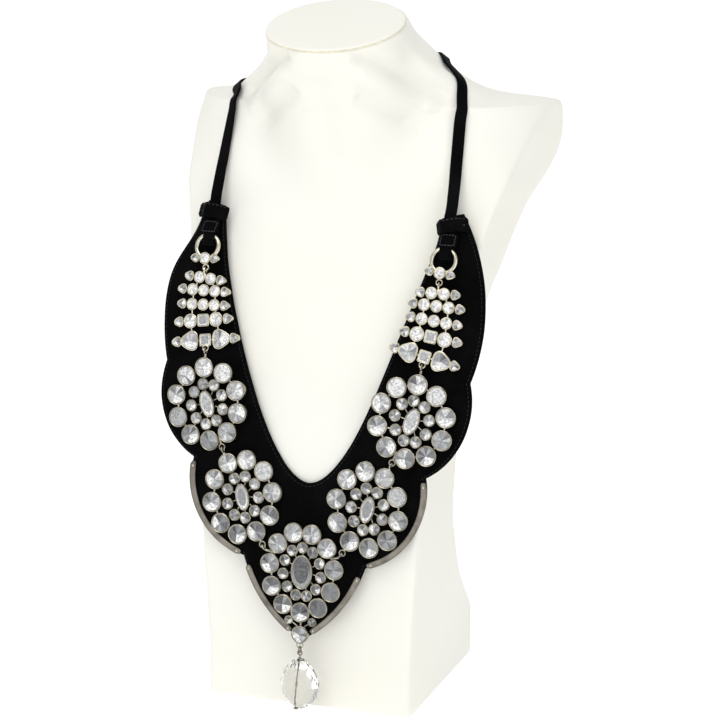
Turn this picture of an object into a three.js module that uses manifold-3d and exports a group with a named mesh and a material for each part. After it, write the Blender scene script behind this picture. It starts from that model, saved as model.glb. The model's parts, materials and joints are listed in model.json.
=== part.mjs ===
// A velvet bib necklace with jewelled silver ornaments, on a plain neck bust.
// Millimetres. +X is the viewer's right, +Y the back, +Z up. The origin is the middle of the bust's base.
import * as THREE from 'three';
import { mergeVertices } from 'three/addons/utils/BufferGeometryUtils.js';
import Module from 'manifold-3d';

const wasm = await Module();
wasm.setup();

// ---- driving dimensions -------------------------------------------------------------------------

const GAP = 0.35;                       // running gap between pieces that touch

// bust
const NECK_LEAN = 0.37;                 // the neck comes forward by this much for each millimetre up
const NECK_TOP = { y: -11.2, z: 398, halfWidth: 41.3, halfDepth: 33.8 };
const NECK_FLARE = { width: 0.1, depth: 0.06 };
const CAP_HEIGHT = 1.5;

// bib outline, one half: the neckline rises from the centre as a power curve, the hem is four lobes
const TIP_Z = 44.5;
const ARM_TOP = { inX: 64.5, inZ: 290.8, outX: 80.5, z: 293.5 };
const NECKLINE_Z = 137.5;
const NECKLINE_POWER = 0.53;
const VELVET = 2.2;
const HEM_LOBES = [
  // share of the bib's half length at both ends, the two corners, and how far the arc bows out
  { from: 0.00, to: 0.08, x0: 0.0, z0: TIP_Z, x1: 38.0, z1: 91.0, bow: 5.8 },
  { from: 0.08, to: 0.20, x0: 38.0, z0: 91.0, x1: 72.5, z1: 146.5, bow: 13.0 },
  { from: 0.20, to: 0.55, x0: 72.5, z0: 146.5, x1: 94.5, z1: 201.0, bow: 10.4 },
  { from: 0.55, to: 1.00, x0: 94.5, z0: 201.0, x1: ARM_TOP.outX, z1: ARM_TOP.z, bow: 11.0 },
];

// the chest that the bib lies on
const CHEST = { tipY: -71.5, slope: 0.1, rise: 26.6, height: 249, power: 3.4, crown: 2.0, crownWidth: 58 };
const PADDING = { depth: 2.5, centreX: 76, centreZ: 250, bend: 0.0034, width: 26 };

// the left arm's outer edge rolls under a little above its ring
const ROLL = { z: 276, reach: 17, in: 5, back: 2.5 };
// the worn bib isn't quite even: by height, how far the neckline stands towards +X on each arm
const NECK_DRAW = [
  { z: 137, right: 1.0, left: 1.0 }, { z: 150, right: 1.3, left: 0.9 },
  { z: 165, right: 1.8, left: 0.7 }, { z: 190, right: 2.1, left: 0.1 },
  { z: 215, right: 2.5, left: -1.2 }, { z: 235, right: 3.4, left: -2.2 },
  { z: 258, right: 5.0, left: -2.9 }, { z: 276, right: 6.0, left: -2.4 },
  { z: 291, right: 4.2, left: -1.6 },
];

// strap
const STRAP = { width: 7, thickness: 1.6 };
const ARM_X = { right: 74.5, left: 71.6 };   // the strap's centre line on each arm
const KEEPER = { height: 8.6, thickness: 1.5, over: 5.7, clearance: 2.2, flare: 1.0, chamfer: 0.1 };
const KEEPER_SIDES = {                  // its height, reach to either side of the strap, and tilt
  right: { z: 285.9, inwards: 7.6, outwards: 10.4, turn: 12 },
  left: { z: 287.1, inwards: 8.7, outwards: 10.4, turn: 4 },
};
const FOLD = { rise: 4.1, radius: 2.7 };   // the strap's half circle round the ring
const LAYERS = [                        // above the half circle: height, and lift of the front layer
  { rise: 9, lift: 6.0 }, { rise: 14, lift: 3.8 }, { rise: 21, lift: 3.1 },
];

// silver
const WIRE = 0.9;                       // diameter of the small loops' wire
const RING = { radius: 7, wire: 2.5, z: 267.2, lift: 3.9 };
const RING_X = { right: 73.6, left: 72.2 };
const CUP = 2.4;                        // height of a stone's setting
const CROWN = 0.7;                      // a stone's peak above its setting
const SOLDER = 0.9;                     // radius of the pegs that join the settings
const TRIM = { width: 3.7, thickness: 1.2, rivet: 1.0 };

// drop
const LINK_GAP = 0.3;                   // clearance where one link hangs in the next
const DROP = { y: -73.4, top: 34.6, bottom: 2.8, halfWidth: 12.1, halfDepth: 6.8, bore: 0.95, lean: 5 };
const DROP_WIRE = 0.8;
const EYE = { radius: 2.0, z: 42.3 };
const DROP_RING = { radius: 1.9 };
const PIN = { radius: 1.3, head: 1.5 };

// ---- materials ----------------------------------------------------------------------------------

const cream = new THREE.MeshStandardMaterial({ color: 0xece9da, roughness: 0.5, metalness: 0 });
const velvet = new THREE.MeshStandardMaterial({ color: 0x08080a, roughness: 0.95, metalness: 0 });
const silver = new THREE.MeshStandardMaterial({ color: 0xc9c5b8, roughness: 0.3, metalness: 1 });
const antique = new THREE.MeshStandardMaterial({ color: 0x7c776c, roughness: 0.45, metalness: 1 });
const glass = new THREE.MeshStandardMaterial({ color: 0xf4f6f6, roughness: 0.05, metalness: 0 });

// ---- solids -------------------------------------------------------------------------------------

const mix = (a, b, t) => a + (b - a) * t;

function smoothStep(low, high, value) {
  const t = Math.min(1, Math.max(0, (value - low) / (high - low)));
  return t * t * (3 - 2 * t);
}

function smoothMax(a, b, reach) {
  if (reach <= 0) return Math.max(a, b);
  const h = Math.max(reach - Math.abs(a - b), 0) / reach;
  return Math.max(a, b) + h * h * reach / 4;
}

// A closed geometry from points and triangles, with equal points shared and flat triangles dropped.
function closedGeometry(points, triangles) {
  const raw = new THREE.BufferGeometry();
  raw.setAttribute('position', new THREE.Float32BufferAttribute(points.flat(), 3));
  raw.setIndex(triangles.flat());
  const merged = mergeVertices(raw, 1e-4);
  const index = merged.getIndex().array;
  const kept = [];
  for (let i = 0; i < index.length; i += 3) {
    const [a, b, c] = [index[i], index[i + 1], index[i + 2]];
    if (a !== b && b !== c && c !== a) kept.push(a, b, c);
  }
  merged.setIndex(kept);
  return merged;
}

// A skin over closed rings of equal count, with a fan over the first ring and over the last. Each
// quad is split along its shorter diagonal.
function loft(rings) {
  const count = rings[0].length;
  const points = rings.flat();
  const span = (i, j) => Math.hypot(...[0, 1, 2].map((k) => points[i][k] - points[j][k]));
  const triangles = [];
  for (let r = 0; r + 1 < rings.length; r += 1) {
    for (let i = 0; i < count; i += 1) {
      const next = (i + 1) % count;
      const [a, b] = [r * count + i, r * count + next];
      const [c, d] = [a + count, b + count];
      if (span(a, d) < span(b, c)) triangles.push([a, b, d], [a, d, c]);
      else triangles.push([a, b, c], [b, d, c]);
    }
  }
  const middle = (ring) => [0, 1, 2].map((k) => ring.reduce((sum, p) => sum + p[k], 0) / count);
  const start = points.push(middle(rings[0])) - 1;
  const end = points.push(middle(rings[rings.length - 1])) - 1;
  const last = (rings.length - 1) * count;
  for (let i = 0; i < count; i += 1) {
    const next = (i + 1) % count;
    triangles.push([start, next, i], [end, last + i, last + next]);
  }
  return closedGeometry(points, triangles);
}

function toSolid(geometry) {
  const bare = geometry.clone();
  bare.deleteAttribute('normal');
  bare.deleteAttribute('uv');
  const merged = mergeVertices(bare, 1e-4);
  const vertProperties = new Float32Array(merged.getAttribute('position').array);
  const triVerts = new Uint32Array(merged.getIndex().array);
  return new wasm.Manifold(new wasm.Mesh({ numProp: 3, vertProperties, triVerts }));
}

function toGeometry(solid) {
  const mesh = solid.getMesh();
  const geometry = new THREE.BufferGeometry();
  geometry.setAttribute('position', new THREE.BufferAttribute(new Float32Array(mesh.vertProperties), 3));
  geometry.setIndex(new THREE.BufferAttribute(new Uint32Array(mesh.triVerts), 1));
  return geometry;
}

// One solid of soldered pieces.
function soldered(geometries) {
  let whole = toSolid(geometries[0]);
  for (const geometry of geometries.slice(1)) whole = whole.add(toSolid(geometry));
  return toGeometry(whole);
}

function cut(geometry, tool) {
  return toGeometry(toSolid(geometry).subtract(toSolid(tool)));
}

function named(name, geometry, material) {
  const mesh = new THREE.Mesh(geometry, material);
  mesh.name = name;
  return mesh;
}

// ---- the bust -----------------------------------------------------------------------------------

// Each row is a section of the trunk: the front line runs from the middle to the front crease, a side
// panel from the crease to the rear corner, and the back line closes it. shear lifts the back of the
// row, and power and close shape the front line. core is a point inside the section, and from the
// first row with a blend the neck, a leaning oval, is joined to the trunk over that reach.
const BUST_COLUMNS = ['z', 'shear', 'front', 'creaseX', 'creaseY', 'rearX', 'rearY', 'back',
  'power', 'close', 'blend', 'core'];
const BUST_ROWS = [
  [0, 0, -60.5, 64, -61, 64, 62, 62, 6, 1, 0, 0],
  [30, 0, -60.5, 64, -61, 64, 62, 62, 6, 1, 0, 0],
  [40, 0, -60.5, 64.5, -61, 64.5, 53.5, 54, 6, 1, 0, 0],
  [61.5, 0, -60.5, 65.5, -61, 65.5, 33, 33.5, 6, 1, 0, 0],
  [81.5, 0, -60.5, 66.5, -61, 66.5, 21.5, 22.5, 6, 1, 0, 0],
  [113.5, 0, -60.2, 68, -60.7, 68, 9.5, 12, 6, 1, 0, -10],
  [147.5, 0, -57, 69.5, -57, 69.5, 11, 15.5, 4, 1, 0, -8],
  [173.5, 0, -52, 71, -51.5, 71.5, 14.5, 20.5, 2, 1, 0, -5],
  [208.5, 0, -45, 75.5, -42.5, 76, 18, 29, 2, 1, 0, 2],
  [237.5, 0, -37.5, 82, -33, 84, 19.5, 37.5, 2, 1, 0, 8],
  [257.5, 0, -30.8, 87, -25.5, 90, 27.5, 48, 2, 1, 0, 14],
  [275.5, 0, -24, 91.5, -18, 94.5, 37.5, 58.5, 2, 1, 0, 19],
  [292, 0, -17, 95.5, -10, 99, 51, 71.5, 2.2, 1, 10, 22],
  [307, 0, -13, 100, 0.5, 105, 71.5, 84, 3.5, 1, 12, 24],
  [319, 0, -9, 102.5, 12, 109, 83.5, 91, 4.5, 1, 14, 25],
  [330, 0, -4.5, 105.5, 23, 112, 82, 93, 4.5, 1, 16, 26],
  [342.5, 0.01, 1, 109.5, 41, 113.5, 75.5, 91.5, 4.5, 1, 18, 27],
  [349.5, 0.03, 1.5, 112, 55.5, 114.5, 67.5, 87, 5, 1, 18, 30],
  [351.4, 0.05, 2, 95, 49, 95, 49, 83, 5, 2, 18, 30],
  [353.2, 0.07, 2.5, 82, 39, 76, 47, 77, 5, 2, 18, 29],
  [359, 0.12, 1, 73, 27, 65, 37, 64, 4.5, 2, 20, 25],
  [367, 0.18, -3, 61, 16, 55.5, 25, 56, 4, 2, 20, 19],
  [378, 0.25, -9, 49, 4, 49, 4, 45.5, 3, 2, 10, 8],
  [386, 0.31, -14, 43, -6, 43, -6, 36.5, 2.5, 2, 4, 0],
  [391, 0.345, -17, 42.4, -10, 42.4, -10, 30, 2, 2, 2, -5],
  [NECK_TOP.z, NECK_LEAN, -20, 40, -10, 40, -10, 20, 2, 2, 0, -8],
];
const FIRST_NECK_ROW_Z = 290;
const BUST_STEPS = { front: 11, side: 2, back: 8 };
const BACK_POWER = 2.6;

const steps = (count, from, to) => Array.from({ length: count }, (_, i) => mix(from, to, i / count));

// Half of the trunk's section in fine steps, from the middle of the front to the middle of the back.
function trunkSection(row) {
  const front = steps(96, 0, Math.PI / 2).map((angle) => {
    const across = Math.sin(angle);
    const rise = 1 - (1 - across ** row.power) ** (1 / row.close);
    return [row.creaseX * across, mix(row.front, row.creaseY, rise)];
  });
  const side = steps(12, 0, 1).map((t) => [mix(row.creaseX, row.rearX, t), mix(row.creaseY, row.rearY, t)]);
  const back = steps(96, 0, Math.PI / 2).map((angle) => [
    row.rearX * Math.cos(angle) ** (2 / BACK_POWER),
    mix(row.rearY, row.back, Math.sin(angle) ** (2 / BACK_POWER)),
  ]);
  return [...front, ...side, ...back, [0, row.back]];
}

// How far it is from the core to the neck's oval in a direction, measured from the front.
function neckReach(row, angle) {
  const down = NECK_TOP.z - row.z;
  const halfWidth = NECK_TOP.halfWidth + NECK_FLARE.width * down;
  const halfDepth = NECK_TOP.halfDepth + NECK_FLARE.depth * down;
  const off = row.core - (NECK_TOP.y + NECK_LEAN * down);
  const a = (Math.sin(angle) / halfWidth) ** 2 + (Math.cos(angle) / halfDepth) ** 2;
  const b = off * Math.cos(angle) / halfDepth ** 2;
  return (b + Math.sqrt(Math.max(0, b * b - a * ((off / halfDepth) ** 2 - 1)))) / a;
}

function bustRing(values) {
  const row = Object.fromEntries(BUST_COLUMNS.map((name, i) => [name, values[i]]));
  const angleOf = (x, y) => Math.atan2(x, row.core - y);
  const section = trunkSection(row).map(([x, y]) => [angleOf(x, y), Math.hypot(x, row.core - y)]);
  const trunkReach = (angle) => {
    const after = Math.max(1, section.findIndex(([other]) => other >= angle - 1e-9));
    const [[from, near], [to, far]] = [section[after - 1], section[after]];
    return mix(near, far, Math.min(1, Math.max(0, (angle - from) / (to - from || 1))));
  };
  const crease = angleOf(row.creaseX, row.creaseY);
  const rear = angleOf(row.rearX, row.rearY);
  const angles = [...steps(BUST_STEPS.front, 0, crease), ...steps(BUST_STEPS.side, crease, rear),
    ...steps(BUST_STEPS.back, rear, Math.PI), Math.PI];
  const half = angles.map((angle) => {
    const trunk = trunkReach(angle);
    const hasNeck = row.z > FIRST_NECK_ROW_Z;
    const reach = hasNeck ? smoothMax(trunk, neckReach(row, angle), row.blend) : trunk;
    return [reach * Math.sin(angle), row.core - reach * Math.cos(angle)];
  });
  const other = half.slice(1, -1).reverse().map(([x, y]) => [-x, y]);
  const pivot = NECK_TOP.y + NECK_LEAN * (NECK_TOP.z - row.z);
  return [...half, ...other].map(([x, y]) => [x, y, row.z + row.shear * (y - pivot)]);
}

function neckCap() {
  const sides = 28;
  const levels = [[GAP, 0.99], [0.8, 1.005], [1.2, 0.99], [CAP_HEIGHT, 0.96]];
  const rings = levels.map(([lift, scale]) => Array.from({ length: sides }, (_, i) => {
    const angle = 2 * Math.PI * i / sides;
    const across = NECK_TOP.halfWidth * scale * Math.sin(angle);
    const depth = -NECK_TOP.halfDepth * scale * Math.cos(angle);
    return [across, NECK_TOP.y - NECK_LEAN * lift + depth, NECK_TOP.z + lift + NECK_LEAN * depth];
  }));
  return loft(rings);
}

// ---- the velvet ---------------------------------------------------------------------------------

// How far back the velvet's face stands at a point of the front view: the chest's profile, its crown
// across, and the padding that lifts the middle of each arm.
function velvetFace(x, z) {
  const up = z - TIP_Z;
  const profile = CHEST.tipY + CHEST.slope * up
    + CHEST.rise * Math.sign(up) * Math.abs(up / CHEST.height) ** CHEST.power;
  const crown = CHEST.crown * smoothStep(150, 230, z) * (x / CHEST.crownWidth) ** 2;
  const ridge = PADDING.centreX - PADDING.bend * (z - PADDING.centreZ) ** 2;
  const off = (Math.abs(x) - ridge) / PADDING.width;
  return profile + crown - PADDING.depth * smoothStep(150, 190, z) * Math.exp(-off * off);
}

function necklineAt(share) {
  const up = share ** 1.4;
  return [ARM_TOP.inX * up ** NECKLINE_POWER, NECKLINE_Z + (ARM_TOP.inZ - NECKLINE_Z) * up];
}

function neckDraw(word, z) {
  const next = NECK_DRAW.findIndex((row) => row.z > z);
  if (next <= 0) return (next < 0 ? NECK_DRAW[NECK_DRAW.length - 1] : NECK_DRAW[0])[word];
  const [low, high] = [NECK_DRAW[next - 1], NECK_DRAW[next]];
  return mix(low[word], high[word], (z - low.z) / (high.z - low.z));
}

// A point of the arc from one corner to the other that bows out by the given depth.
function bowedArc(lobe, t) {
  const chord = Math.hypot(lobe.x1 - lobe.x0, lobe.z1 - lobe.z0);
  const radius = (chord * chord / 4 + lobe.bow * lobe.bow) / (2 * lobe.bow);
  const half = Math.asin(chord / 2 / radius);
  const angle = half * (2 * t - 1);
  const along = 0.5 + radius * Math.sin(angle) / chord;
  const out = radius * Math.cos(angle) - (radius - lobe.bow);
  const [dx, dz] = [(lobe.x1 - lobe.x0) / chord, (lobe.z1 - lobe.z0) / chord];
  return [mix(lobe.x0, lobe.x1, along) + out * dz, mix(lobe.z0, lobe.z1, along) - out * dx];
}

function hemAt(share) {
  const lobe = HEM_LOBES.find((one) => share <= one.to) ?? HEM_LOBES[HEM_LOBES.length - 1];
  return bowedArc(lobe, (share - lobe.from) / (lobe.to - lobe.from));
}

// Shares of the bib's half length that fall on every corner of the hem, closer together on the lobes.
function bibShares() {
  const counts = [4, 5, 6, 9];
  const shares = [0];
  HEM_LOBES.forEach((lobe, i) => {
    for (let k = 1; k <= counts[i]; k += 1) shares.push(mix(lobe.from, lobe.to, k / counts[i]));
  });
  return [...shares.slice(1).reverse().map((share) => -share), ...shares];
}

function velvetBib() {
  const across = 4;
  const rings = bibShares().map((share) => {
    const side = Math.sign(share) || 1;
    const [inner, outer] = [necklineAt(Math.abs(share)), hemAt(Math.abs(share))];
    const face = [];
    for (let i = 0; i <= across; i += 1) {
      const [x, z] = [mix(inner[0], outer[0], i / across), mix(inner[1], outer[1], i / across)];
      const roll = side < 0 ? Math.exp(-(((z - ROLL.z) / ROLL.reach) ** 2)) * (i / across) ** 3 : 0;
      const drawn = side * x + neckDraw(side > 0 ? 'right' : 'left', z) * (1 - i / across) ** 2;
      face.push([drawn - side * ROLL.in * roll, velvetFace(drawn, z) + ROLL.back * roll, z]);
    }
    const lining = face.map(([x, y, z]) => [x, y + VELVET, z]).reverse();
    return [...face, ...lining];
  });
  return loft(rings);
}

// ---- the strap ----------------------------------------------------------------------------------

// A place on the velvet: its point, the direction up the velvet, the direction across, and outwards.
function onVelvet(x, z) {
  const h = 0.01;
  const slopeX = (velvetFace(x + h, z) - velvetFace(x - h, z)) / (2 * h);
  const slopeZ = (velvetFace(x, z + h) - velvetFace(x, z - h)) / (2 * h);
  const out = new THREE.Vector3(slopeX, -1, slopeZ).normalize();
  const up = new THREE.Vector3(0, 0, 1).addScaledVector(out, -out.z).normalize();
  const across = new THREE.Vector3().crossVectors(up, out);
  return { point: new THREE.Vector3(x, velvetFace(x, z), z), up, across, out };
}

// A flat band carried along points, each with the direction that its face looks.
function band(route, width, thickness) {
  const rings = route.map(({ point, face }, i) => {
    const before = route[Math.max(0, i - 1)].point;
    const after = route[Math.min(route.length - 1, i + 1)].point;
    const along = new THREE.Vector3().subVectors(after, before).normalize();
    const side = new THREE.Vector3().crossVectors(along, face).normalize();
    const out = new THREE.Vector3().crossVectors(side, along).normalize();
    const corner = (a, b) => point.clone().addScaledVector(side, a * width / 2)
      .addScaledVector(out, b * thickness / 2).toArray();
    return [corner(-1, -1), corner(-1, 1), corner(1, 1), corner(1, -1)];
  });
  return loft(rings);
}

// Places on one arm that the strap passes, as the height up the velvet from the ring's centre and the
// lift off it: down under the keeper behind, round the ring, and up again in front.
function strapFold(word) {
  const frame = onVelvet(ARM_X[word], RING.z);
  const lowest = GAP + STRAP.thickness / 2;
  const places = LAYERS.map(({ rise }, i) => [rise, i > 0 ? lowest : RING.lift - FOLD.radius, 1]).reverse();
  const bends = 8;
  for (let i = 0; i <= bends; i += 1) {
    const angle = Math.PI * i / bends;
    places.push([FOLD.rise - FOLD.radius * Math.sin(angle), RING.lift - FOLD.radius * Math.cos(angle),
      Math.cos(angle), -Math.sin(angle)]);
  }
  places.push(...LAYERS.map(({ rise, lift }) => [rise, lift, -1]));
  return places.map(([rise, lift, back, down = 0]) => ({
    point: frame.point.clone().addScaledVector(frame.up, rise).addScaledVector(frame.out, lift),
    face: frame.out.clone().multiplyScalar(-back).addScaledVector(frame.up, down),
  }));
}

// The strap's route over the bust, from the keeper to the middle of the nape: a place near the skin
// and the way the strap's face looks there.
const STRAP_ROUTE = {
  right: [
    [74.6, -21.4, 297.5, 0.0, -0.93, 0.38],
    [73.6, -13.5, 308, 0.08, -0.92, 0.36],
    [72.4, -7.0, 319, 0.2, -0.9, 0.38],
    [71.4, -1.0, 330, 0.32, -0.86, 0.4],
    [70.4, 4.0, 340, 0.42, -0.82, 0.43],
    [69.2, 8.3, 349, 0.6, -0.65, 0.48],
    [68.0, 12.5, 355.5, 0.62, -0.5, 0.6],
    [66.2, 17.0, 361, 0.69, -0.34, 0.64],
    [63.4, 20.8, 366, 0.72, -0.22, 0.66],
    [59.8, 24.0, 370.8, 0.71, -0.1, 0.7],
    [55.8, 26.8, 374.4, 0.65, 0.06, 0.75],
    [51.5, 31.5, 376, 0.57, 0.22, 0.79],
    [47.0, 38.5, 374.4, 0.46, 0.44, 0.77],
    [40.5, 46.0, 371.5, 0.32, 0.58, 0.75],
    [32.0, 52.5, 369, 0.2, 0.67, 0.7],
    [22.0, 57.0, 367, 0.1, 0.72, 0.68],
    [11.0, 59.5, 366, 0.04, 0.75, 0.66],
    [0.0, 60.0, 365.8, 0, 0.76, 0.65],
  ],
  left: [
    [-72.0, -21.4, 297.5, 0.0, -0.93, 0.38],
    [-72.6, -13.5, 308, -0.08, -0.92, 0.36],
    [-72.8, -7.0, 319, -0.22, -0.9, 0.38],
    [-72.6, -1.0, 330, -0.36, -0.84, 0.4],
    [-71.4, 4.0, 340, -0.5, -0.77, 0.4],
    [-69.2, 8.0, 349, -0.62, -0.62, 0.48],
    [-68.2, 10.8, 354, -0.72, -0.4, 0.56],
    [-71.4, 17.5, 355.2, -0.74, -0.25, 0.62],
    [-74.4, 26.0, 355.6, -0.66, -0.08, 0.74],
    [-76.0, 35.0, 355.8, -0.56, 0.06, 0.82],
    [-74.0, 44.4, 356.8, -0.48, 0.22, 0.85],
    [-69.2, 52.0, 358.8, -0.4, 0.38, 0.83],
    [-59.6, 57.0, 361, -0.34, 0.5, 0.8],
    [-48.4, 59.8, 363, -0.27, 0.6, 0.75],
    [-36.0, 60.8, 364.6, -0.19, 0.67, 0.71],
    [-22.8, 60.8, 365.4, -0.1, 0.73, 0.68],
    [-11.4, 60.2, 365.7, -0.04, 0.75, 0.66],
    [0.0, 60.0, 365.8, 0, 0.76, 0.65],
  ],
};
const ROUTE_STEPS = 2;                  // places taken on the strap between two rows of its route
const TAUT_PASSES = 6;
const SKIN_GAP = 0.9;                   // clearance under the strap, for the skin between two places
const STRAP_FEELERS = [-0.55, -0.3, 0, 0.3, 0.55];   // shares of its width at which the skin is felt

// How far out along the face the skin of the bust stands at a place, under the width of the strap.
function skinUnder(bust, { point, face }, side) {
  const reach = 30;
  const caster = new THREE.Raycaster();
  const heights = STRAP_FEELERS.map((share) => {
    const from = point.clone().addScaledVector(side, share * STRAP.width).addScaledVector(face, reach);
    caster.set(from, face.clone().negate());
    const [hit] = caster.intersectObject(bust);
    return hit ? reach - hit.distance : -reach;
  });
  return Math.max(...heights);
}

// The strap's places on the bust: a place under the skin is lifted clear, and hollows are bridged.
function strapOverBust(bust, route) {
  const rows = route.map(([x, y, z, faceX, faceY, faceZ]) => ({
    point: new THREE.Vector3(x, y, z), face: new THREE.Vector3(faceX, faceY, faceZ).normalize(),
  }));
  const line = new THREE.CatmullRomCurve3(rows.map((row) => row.point));
  const places = [];
  for (let i = 0; i < (rows.length - 1) * ROUTE_STEPS + 1; i += 1) {
    const t = i / ((rows.length - 1) * ROUTE_STEPS);
    const [low, part] = [Math.min(rows.length - 2, Math.floor(i / ROUTE_STEPS)), i / ROUTE_STEPS];
    const face = rows[low].face.clone().lerp(rows[low + 1].face, part - low).normalize();
    const place = { point: line.getPoint(t), face };
    const side = new THREE.Vector3().crossVectors(line.getTangent(t), face).normalize();
    const lift = skinUnder(bust, place, side) + SKIN_GAP + STRAP.thickness / 2;
    place.point.addScaledVector(face, Math.max(0, lift));
    places.push(place);
  }
  for (let pass = 0; pass < TAUT_PASSES; pass += 1) {
    for (let i = 1; i + 1 < places.length; i += 1) {
      const between = places[i - 1].point.clone().add(places[i + 1].point).multiplyScalar(0.5);
      const lift = between.sub(places[i].point).dot(places[i].face);
      if (lift > 0) places[i].point.addScaledVector(places[i].face, lift);
    }
  }
  return places;
}

// The whole strap: up the right arm and over the bust to the nape, and down again on the left.
function neckStrap(bust) {
  const rising = [...strapFold('right'), ...strapOverBust(bust, STRAP_ROUTE.right)];
  const flip = ({ point, face }) => ({
    point: new THREE.Vector3(-point.x, point.y, point.z),
    face: new THREE.Vector3(-face.x, face.y, face.z),
  });
  const falling = [...strapFold('left').map(flip), ...strapOverBust(bust, STRAP_ROUTE.left)];
  return band([...rising, ...falling.reverse().slice(1)], STRAP.width, STRAP.thickness);
}

// The keeper is an arch over both layers of the strap, with its feet on the velvet.
function keeper(word) {
  const { z, inwards, outwards, turn } = KEEPER_SIDES[word];
  const frame = onVelvet(ARM_X[word], z);
  const inner = STRAP.width / 2 + KEEPER.clearance;
  const { over, thickness: wall, flare } = KEEPER;
  const shoulder = wall + KEEPER.chamfer;
  const shape = new THREE.Shape();
  const outline = [[-inwards, GAP], [-inner - flare, GAP], [-inner, over], [inner, over], [inner + flare, GAP],
    [outwards, GAP], [outwards, GAP + wall], [inner + shoulder, over + wall],
    [-inner - shoulder, over + wall], [-inwards, GAP + wall]];
  outline.forEach(([a, b], i) => (i === 0 ? shape.moveTo(a, b) : shape.lineTo(a, b)));
  const geometry = new THREE.ExtrudeGeometry(shape, { depth: KEEPER.height, bevelEnabled: false });
  geometry.translate(0, 0, -KEEPER.height / 2);
  geometry.rotateY(turn * Math.PI / 180);
  const { across, out, up } = frame;
  const basis = new THREE.Matrix4().makeBasis(across, out, up.clone().negate());
  return geometry.applyMatrix4(basis.setPosition(frame.point));
}

// The mirror image in the X = 0 plane, with its faces still pointing out.
function mirrorX(geometry) {
  const copy = geometry.index ? geometry.clone() : mergeVertices(geometry);
  copy.applyMatrix4(new THREE.Matrix4().makeScale(-1, 1, 1));
  const index = Array.from(copy.getIndex().array);
  for (let i = 0; i < index.length; i += 3) [index[i], index[i + 1]] = [index[i + 1], index[i]];
  copy.setIndex(index);
  return copy;
}

// ---- settings and loops -------------------------------------------------------------------------

// Moves a piece made in a local frame, with X across, Y up the velvet and Z outwards, onto the velvet.
function place(geometry, frame, a, b, lift, turn = 0) {
  const spin = new THREE.Matrix4().makeRotationZ(-turn * Math.PI / 180);
  const move = new THREE.Matrix4().makeTranslation(a, b, lift);
  const basis = new THREE.Matrix4().makeBasis(frame.across, frame.up, frame.out).setPosition(frame.point);
  return geometry.clone().applyMatrix4(basis.multiply(move).multiply(spin));
}

// A setting with its stone: a straight wall on the outline, closed by a low peak.
function setting(outline, height = CUP, peak = CROWN) {
  const low = outline.map(([x, y]) => [x, y, 0]);
  const high = outline.map(([x, y]) => [x, y, height]);
  const count = outline.length;
  const points = [...low, ...high, [0, 0, 0], [0, 0, height + peak]];
  const triangles = [];
  for (let i = 0; i < count; i += 1) {
    const next = (i + 1) % count;
    triangles.push([i, next, count + next], [i, count + next, count + i]);
    triangles.push([2 * count, next, i], [2 * count + 1, count + i, count + next]);
  }
  return closedGeometry(points, triangles);
}

const turns = (count) => Array.from({ length: count }, (_, i) => 2 * Math.PI * i / count);

function ovalOutline(halfWidth, halfHeight, sides) {
  return turns(sides).map((angle) => [halfWidth * Math.cos(angle), halfHeight * Math.sin(angle)]);
}

// A rounded triangle that points along +X, as wide as the given radius on average.
function trillionOutline(radius, sides = 6) {
  return turns(sides).map((angle) => {
    const reach = radius * (1 + 0.1 * Math.cos(3 * angle));
    return [reach * Math.cos(angle), reach * Math.sin(angle)];
  });
}

function squareOutline(half) {
  return [[half, -half], [half, half], [-half, half], [-half, -half]];
}

// A pear with its point down.
function pearOutline(halfWidth, top, bottom, sides = 10) {
  return turns(sides).map((angle) => {
    const [x, y] = [Math.cos(angle), Math.sin(angle)];
    const width = halfWidth * (y < 0 ? 1 - 0.35 * y * y : 1);
    return [width * x, y > 0 ? top * y : bottom * -y];
  });
}

const ROUND_SIDES = { small: 6, middle: 7, large: 8 };

function roundStone(radius) {
  const sides = radius < 2.8 ? ROUND_SIDES.small : radius < 4 ? ROUND_SIDES.middle : ROUND_SIDES.large;
  return ovalOutline(radius, radius, sides);
}

// A small ring of wire, flat on the velvet or standing edge on.
function loop(radius, wire, edgeOn = false, sides = 10, wireSides = 4) {
  const ring = new THREE.TorusGeometry(radius, wire / 2, wireSides, sides);
  if (edgeOn) ring.rotateY(Math.PI / 2);
  return ring;
}

// A three-sided peg of solder between two points, with one side towards the velvet.
function strut(from, to, out = new THREE.Vector3(0, 0, 1), radius = SOLDER) {
  const peg = new THREE.CylinderGeometry(radius, radius, from.distanceTo(to), 3);
  const along = new THREE.Vector3().subVectors(to, from).normalize();
  const side = new THREE.Vector3().crossVectors(along, out).normalize();
  const face = new THREE.Vector3().crossVectors(side, along);
  const middle = from.clone().add(to).multiplyScalar(0.5);
  return peg.applyMatrix4(new THREE.Matrix4().makeBasis(side, along, face).setPosition(middle));
}

const bridge = ([a, b], [c, d]) => strut(new THREE.Vector3(a, b, SOLDER), new THREE.Vector3(c, d, SOLDER));

const spotOn = ({ point, across, up, out }, a, b, lift) => point.clone().addScaledVector(across, a)
  .addScaledVector(up, b).addScaledVector(out, lift);

// Where one group of stones hangs in the next: a flat eyelet on the upper one and an upright loop on
// the lower one. turn swings the pair clockwise, so that it points to the upper group.
const LOOP_RADIUS = 1.75;
const LOOP_LIFT = 3.0;
const JOINS = {
  barToLadder: { x: 72.3, z: 254.7, turn: 0 },
  ladderToUpper: { x: 67.0, z: 209.4, turn: 5 },
  upperToLower: { x: 52.6, z: 153.6, turn: 20 },
  lowerToCentre: { x: 24.5, z: 98.9, turn: 31 },
};

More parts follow.
